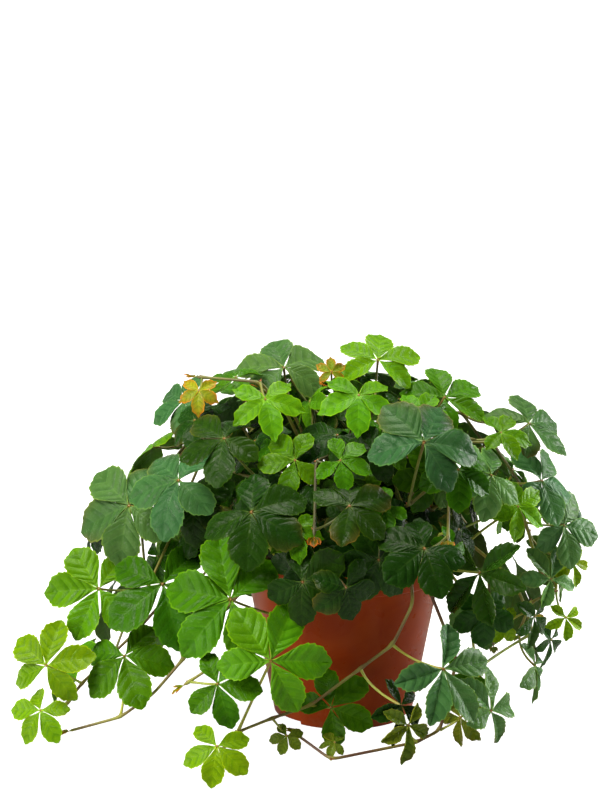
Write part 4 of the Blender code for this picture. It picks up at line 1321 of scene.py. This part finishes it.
def add_crumb(form, centre, size, rng):
    """A small rough lump: a stretched six-sided ball with its points pushed about."""
    rings, sides = 4, 6
    polars = [math.pi * ring / rings for ring in range(1, rings)]
    points = [around(math.tau * s / sides, math.sin(polar), math.cos(polar))
              for polar in polars for s in range(sides)]
    points = [Vector((0, 0, 1)), *points, Vector((0, 0, -1))]
    scale = Vector((rng.uniform(0.5, 1), rng.uniform(0.5, 1), rng.uniform(0.35, 0.7))) * size / 2
    turn = rng.uniform(0, math.tau)
    moved = []
    for point in points:
        point = point * rng.uniform(0.75, 1.2)
        point = Vector((point.x * scale.x, point.y * scale.y, point.z * scale.z))
        moved.append((centre.x + point.x * math.cos(turn) - point.y * math.sin(turn),
                      centre.y + point.x * math.sin(turn) + point.y * math.cos(turn), centre.z + point.z))
    last = len(points) - 1
    faces = [(0, 1 + s, 1 + (s + 1) % sides) for s in range(sides)]
    for ring in range(rings - 2):
        low = 1 + ring * sides
        faces += [(low + s, low + sides + s, low + sides + (s + 1) % sides, low + (s + 1) % sides)
                  for s in range(sides)]
    low = 1 + (rings - 2) * sides
    faces += [(low + s, last, low + (s + 1) % sides) for s in range(sides)]
    form.add(moved, flat_faces(faces), np.zeros((len(points), 2)), (0, 0, 0), 0)


# The studio: a white sweep, a camera at the photograph's angle and large soft lights
LENS, SENSOR = 83.54, 36.0
CAMERA_PITCH = 8.598
CAMERA_PLACE = (-0.02627, -1.09343, 0.35528)
SWEEP_WIDTH, SWEEP_FRONT, SWEEP_BACK, SWEEP_BEND, SWEEP_HEIGHT = 8.0, -4.0, 2.2, 1.2, 4.0
SWEEP_STEPS = 24
ROOM_LIGHT, FLOOR_GLOW = 0.07, 0.12
WARM = (1.0, 0.98, 0.84)


def light_path(tree, other, direct):
    """One value for what the camera sees directly and another for other rays. Floor and world only."""
    strength = tree.nodes.new("ShaderNodeMapRange")
    strength.inputs["To Min"].default_value, strength.inputs["To Max"].default_value = other, direct
    tree.links.new(tree.nodes.new("ShaderNodeLightPath").outputs["Is Camera Ray"], strength.inputs["Value"])
    return strength.outputs[0]


def add_sweep():
    """A white floor that curves up into a backdrop."""
    line = [(SWEEP_FRONT, 0.0), (SWEEP_BACK - SWEEP_BEND, 0.0)]
    turns = [math.pi / 2 * i / SWEEP_STEPS for i in range(1, SWEEP_STEPS + 1)]
    line += [(SWEEP_BACK - SWEEP_BEND + SWEEP_BEND * math.sin(t), SWEEP_BEND * (1 - math.cos(t)))
             for t in turns]
    line.append((SWEEP_BACK, SWEEP_HEIGHT))
    points = [(side * SWEEP_WIDTH / 2, y, z) for y, z in line for side in (-1, 1)]
    faces = [(2 * i, 2 * i + 1, 2 * i + 3, 2 * i + 2) for i in range(len(line) - 1)]
    mesh = bpy.data.meshes.new("sweep")
    mesh.from_pydata(points, [], faces)
    mesh.shade_smooth()
    sweep = new_object("sweep", mesh)
    shade = Shade("white_sweep")
    shade.set(Base_Color=(0.45, 0.45, 0.45, 1), Roughness=0.9, Specular_IOR_Level=0.1,
              Emission_Color=(1, 1, 1, 1), Emission_Strength=light_path(shade.tree, FLOOR_GLOW, 1.0))
    mesh.materials.append(shade.material)


def add_light(name, place, aim, size, power, colour=(1, 1, 1)):
    light = bpy.data.lights.new(name, "AREA")
    light.shape, light.size, light.size_y = "RECTANGLE", *size
    light.energy, light.color = power, colour
    made = new_object(name, light)
    made.location = place
    made.rotation_euler = (Vector(aim) - Vector(place)).to_track_quat("-Z", "Y").to_euler()


def add_studio():
    add_sweep()
    middle = (0, 0, 0.12)
    add_light("key", (-0.9, -0.8, 1.3), middle, (0.6, 0.6), 30, WARM)
    add_light("overhead", (0.1, 0.25, 1.6), middle, (0.9, 0.8), 26, WARM)
    add_light("left_box", (-1.2, -0.55, 0.3), middle, (0.35, 0.7), 8, WARM)
    add_light("right_box", (1.2, 0.42, 0.45), middle, (0.3, 0.9), 19)
    world = bpy.context.scene.world or bpy.data.worlds.new("studio")
    bpy.context.scene.world = world
    world.use_nodes = True
    tree = world.node_tree
    background = tree.nodes["Background"]
    background.inputs["Color"].default_value = (1, 1, 1, 1)
    tree.links.new(light_path(tree, ROOM_LIGHT, 1.0), background.inputs["Strength"])
    camera = bpy.data.cameras.new("camera")
    camera.lens, camera.sensor_width = LENS, SENSOR
    seen = new_object("camera", camera)
    seen.location = CAMERA_PLACE
    seen.rotation_euler = (math.radians(90 - CAMERA_PITCH), 0, 0)
    bpy.context.scene.camera = seen
    bpy.context.scene.view_settings.view_transform = "Standard"


# How shoots differ: how purple a stem is, how much painted shade darkens stems, petioles and buds inside the
# crown, how much painted light or shade lightens or darkens each shoot's leaves, and which shoots have
# tendrils
PURPLE_STEMS = {"front_right": 0.9, "left_far": 0.6, "left_runner": 0.5, "front_runner": 0.6,
                "right_low": 0.2, "right_trail": 0.15, "right_drop": 0.15}
PURPLE_MOSTLY = 0.35
TENDRIL_CHANCE = 0.3
TENDRIL_SHOOTS = ("right_trail", "right_drop", "right_low", "back_2", "back_5", "back_7")
# Bare shoots trail in the open and keep their own stem colour; the other shoots' stems, petioles and buds are
# darkened as painted shade inside the crown
BARE_SHOOTS = ("left_runner", "left_far", "left_arch", "front_left", "front_runner", "front_right",
               "right_low", "right_trail", "right_drop")
CROWN_STEM_PAINTED_SHADE = 0.5
STEM_PAINTED_SHADE = {"front_crown": 0.2, "front_face": 0.3, "front_heart": 0.3}
BACK_TONES = {"deep": 5, "mid": 4, "sage": 4, "fresh": 1}
# Painted light and shade on leaves: each factor lightens or darkens a shoot's leaf colour for how strongly
# light falls on it, lifting the sheen-lit shoots at the right
LEAF_PAINTED_LIGHT = {"right_trail": 1.6, "right_low": 1.5, "right_drop": 1.55, "front_runner": 1.1,
              "right_face": 0.8, "front_left": 0.9, "left_runner": 0.95, "left_arch": 1.12}


def add_shoot(name, path, blades, roots, materials, standing, rng):
    form = Piece()
    # light is a painted shade: the factor that darkens the stems, petioles and buds of shoots inside the
    # crown
    light = 1 if name in BARE_SHOOTS else STEM_PAINTED_SHADE.get(name, CROWN_STEM_PAINTED_SHADE)
    for blade, root in zip(blades, roots):
        if blade:
            tone = blade.tone
            if name.startswith("back"):
                tone = "fresh" if blade is blades[-1] else rng.choices(*zip(*BACK_TONES.items()))[0]
            add_leaf(form, blade, root, tone, light, LEAF_PAINTED_LIGHT.get(name, 1), rng)
    add_stem(form, path, roots, PURPLE_STEMS.get(name, PURPLE_MOSTLY), light, rng)
    for root in roots:
        for _ in range(2):
            way = Vector([rng.uniform(-1, 1), rng.uniform(-1, 1), rng.uniform(-0.2, 0.8)]).normalized()
            add_scale(form, root, way, rng)
        if name in TENDRIL_SHOOTS and rng.random() < TENDRIL_CHANCE:
            add_tendril(form, name, root, standing, rng)
    add_bud(form, name, path[-1], (path[-1] - path[-2]).normalized(), light, standing, rng)
    piece = form.build(f"{name}_shoot", materials)
    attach(piece, "root")
    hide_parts(name)


def main():
    for name, thing in (("pot", fine_pot(plastic_material())),
                        ("soil", fine_soil(soil_material(), random.Random(LOOK_SEED)))):
        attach(thing, "root")
        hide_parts(name)
    materials = [leaf_material("leaf_upper", False), leaf_material("leaf_under", True), bark_material()]
    rng = random.Random(LOOK_SEED)
    shoots, standing = grown_shoots()
    for name, path, blades, roots in shoots:
        add_shoot(name, path, blades, roots, materials, standing, rng)
    add_studio()


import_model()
main()
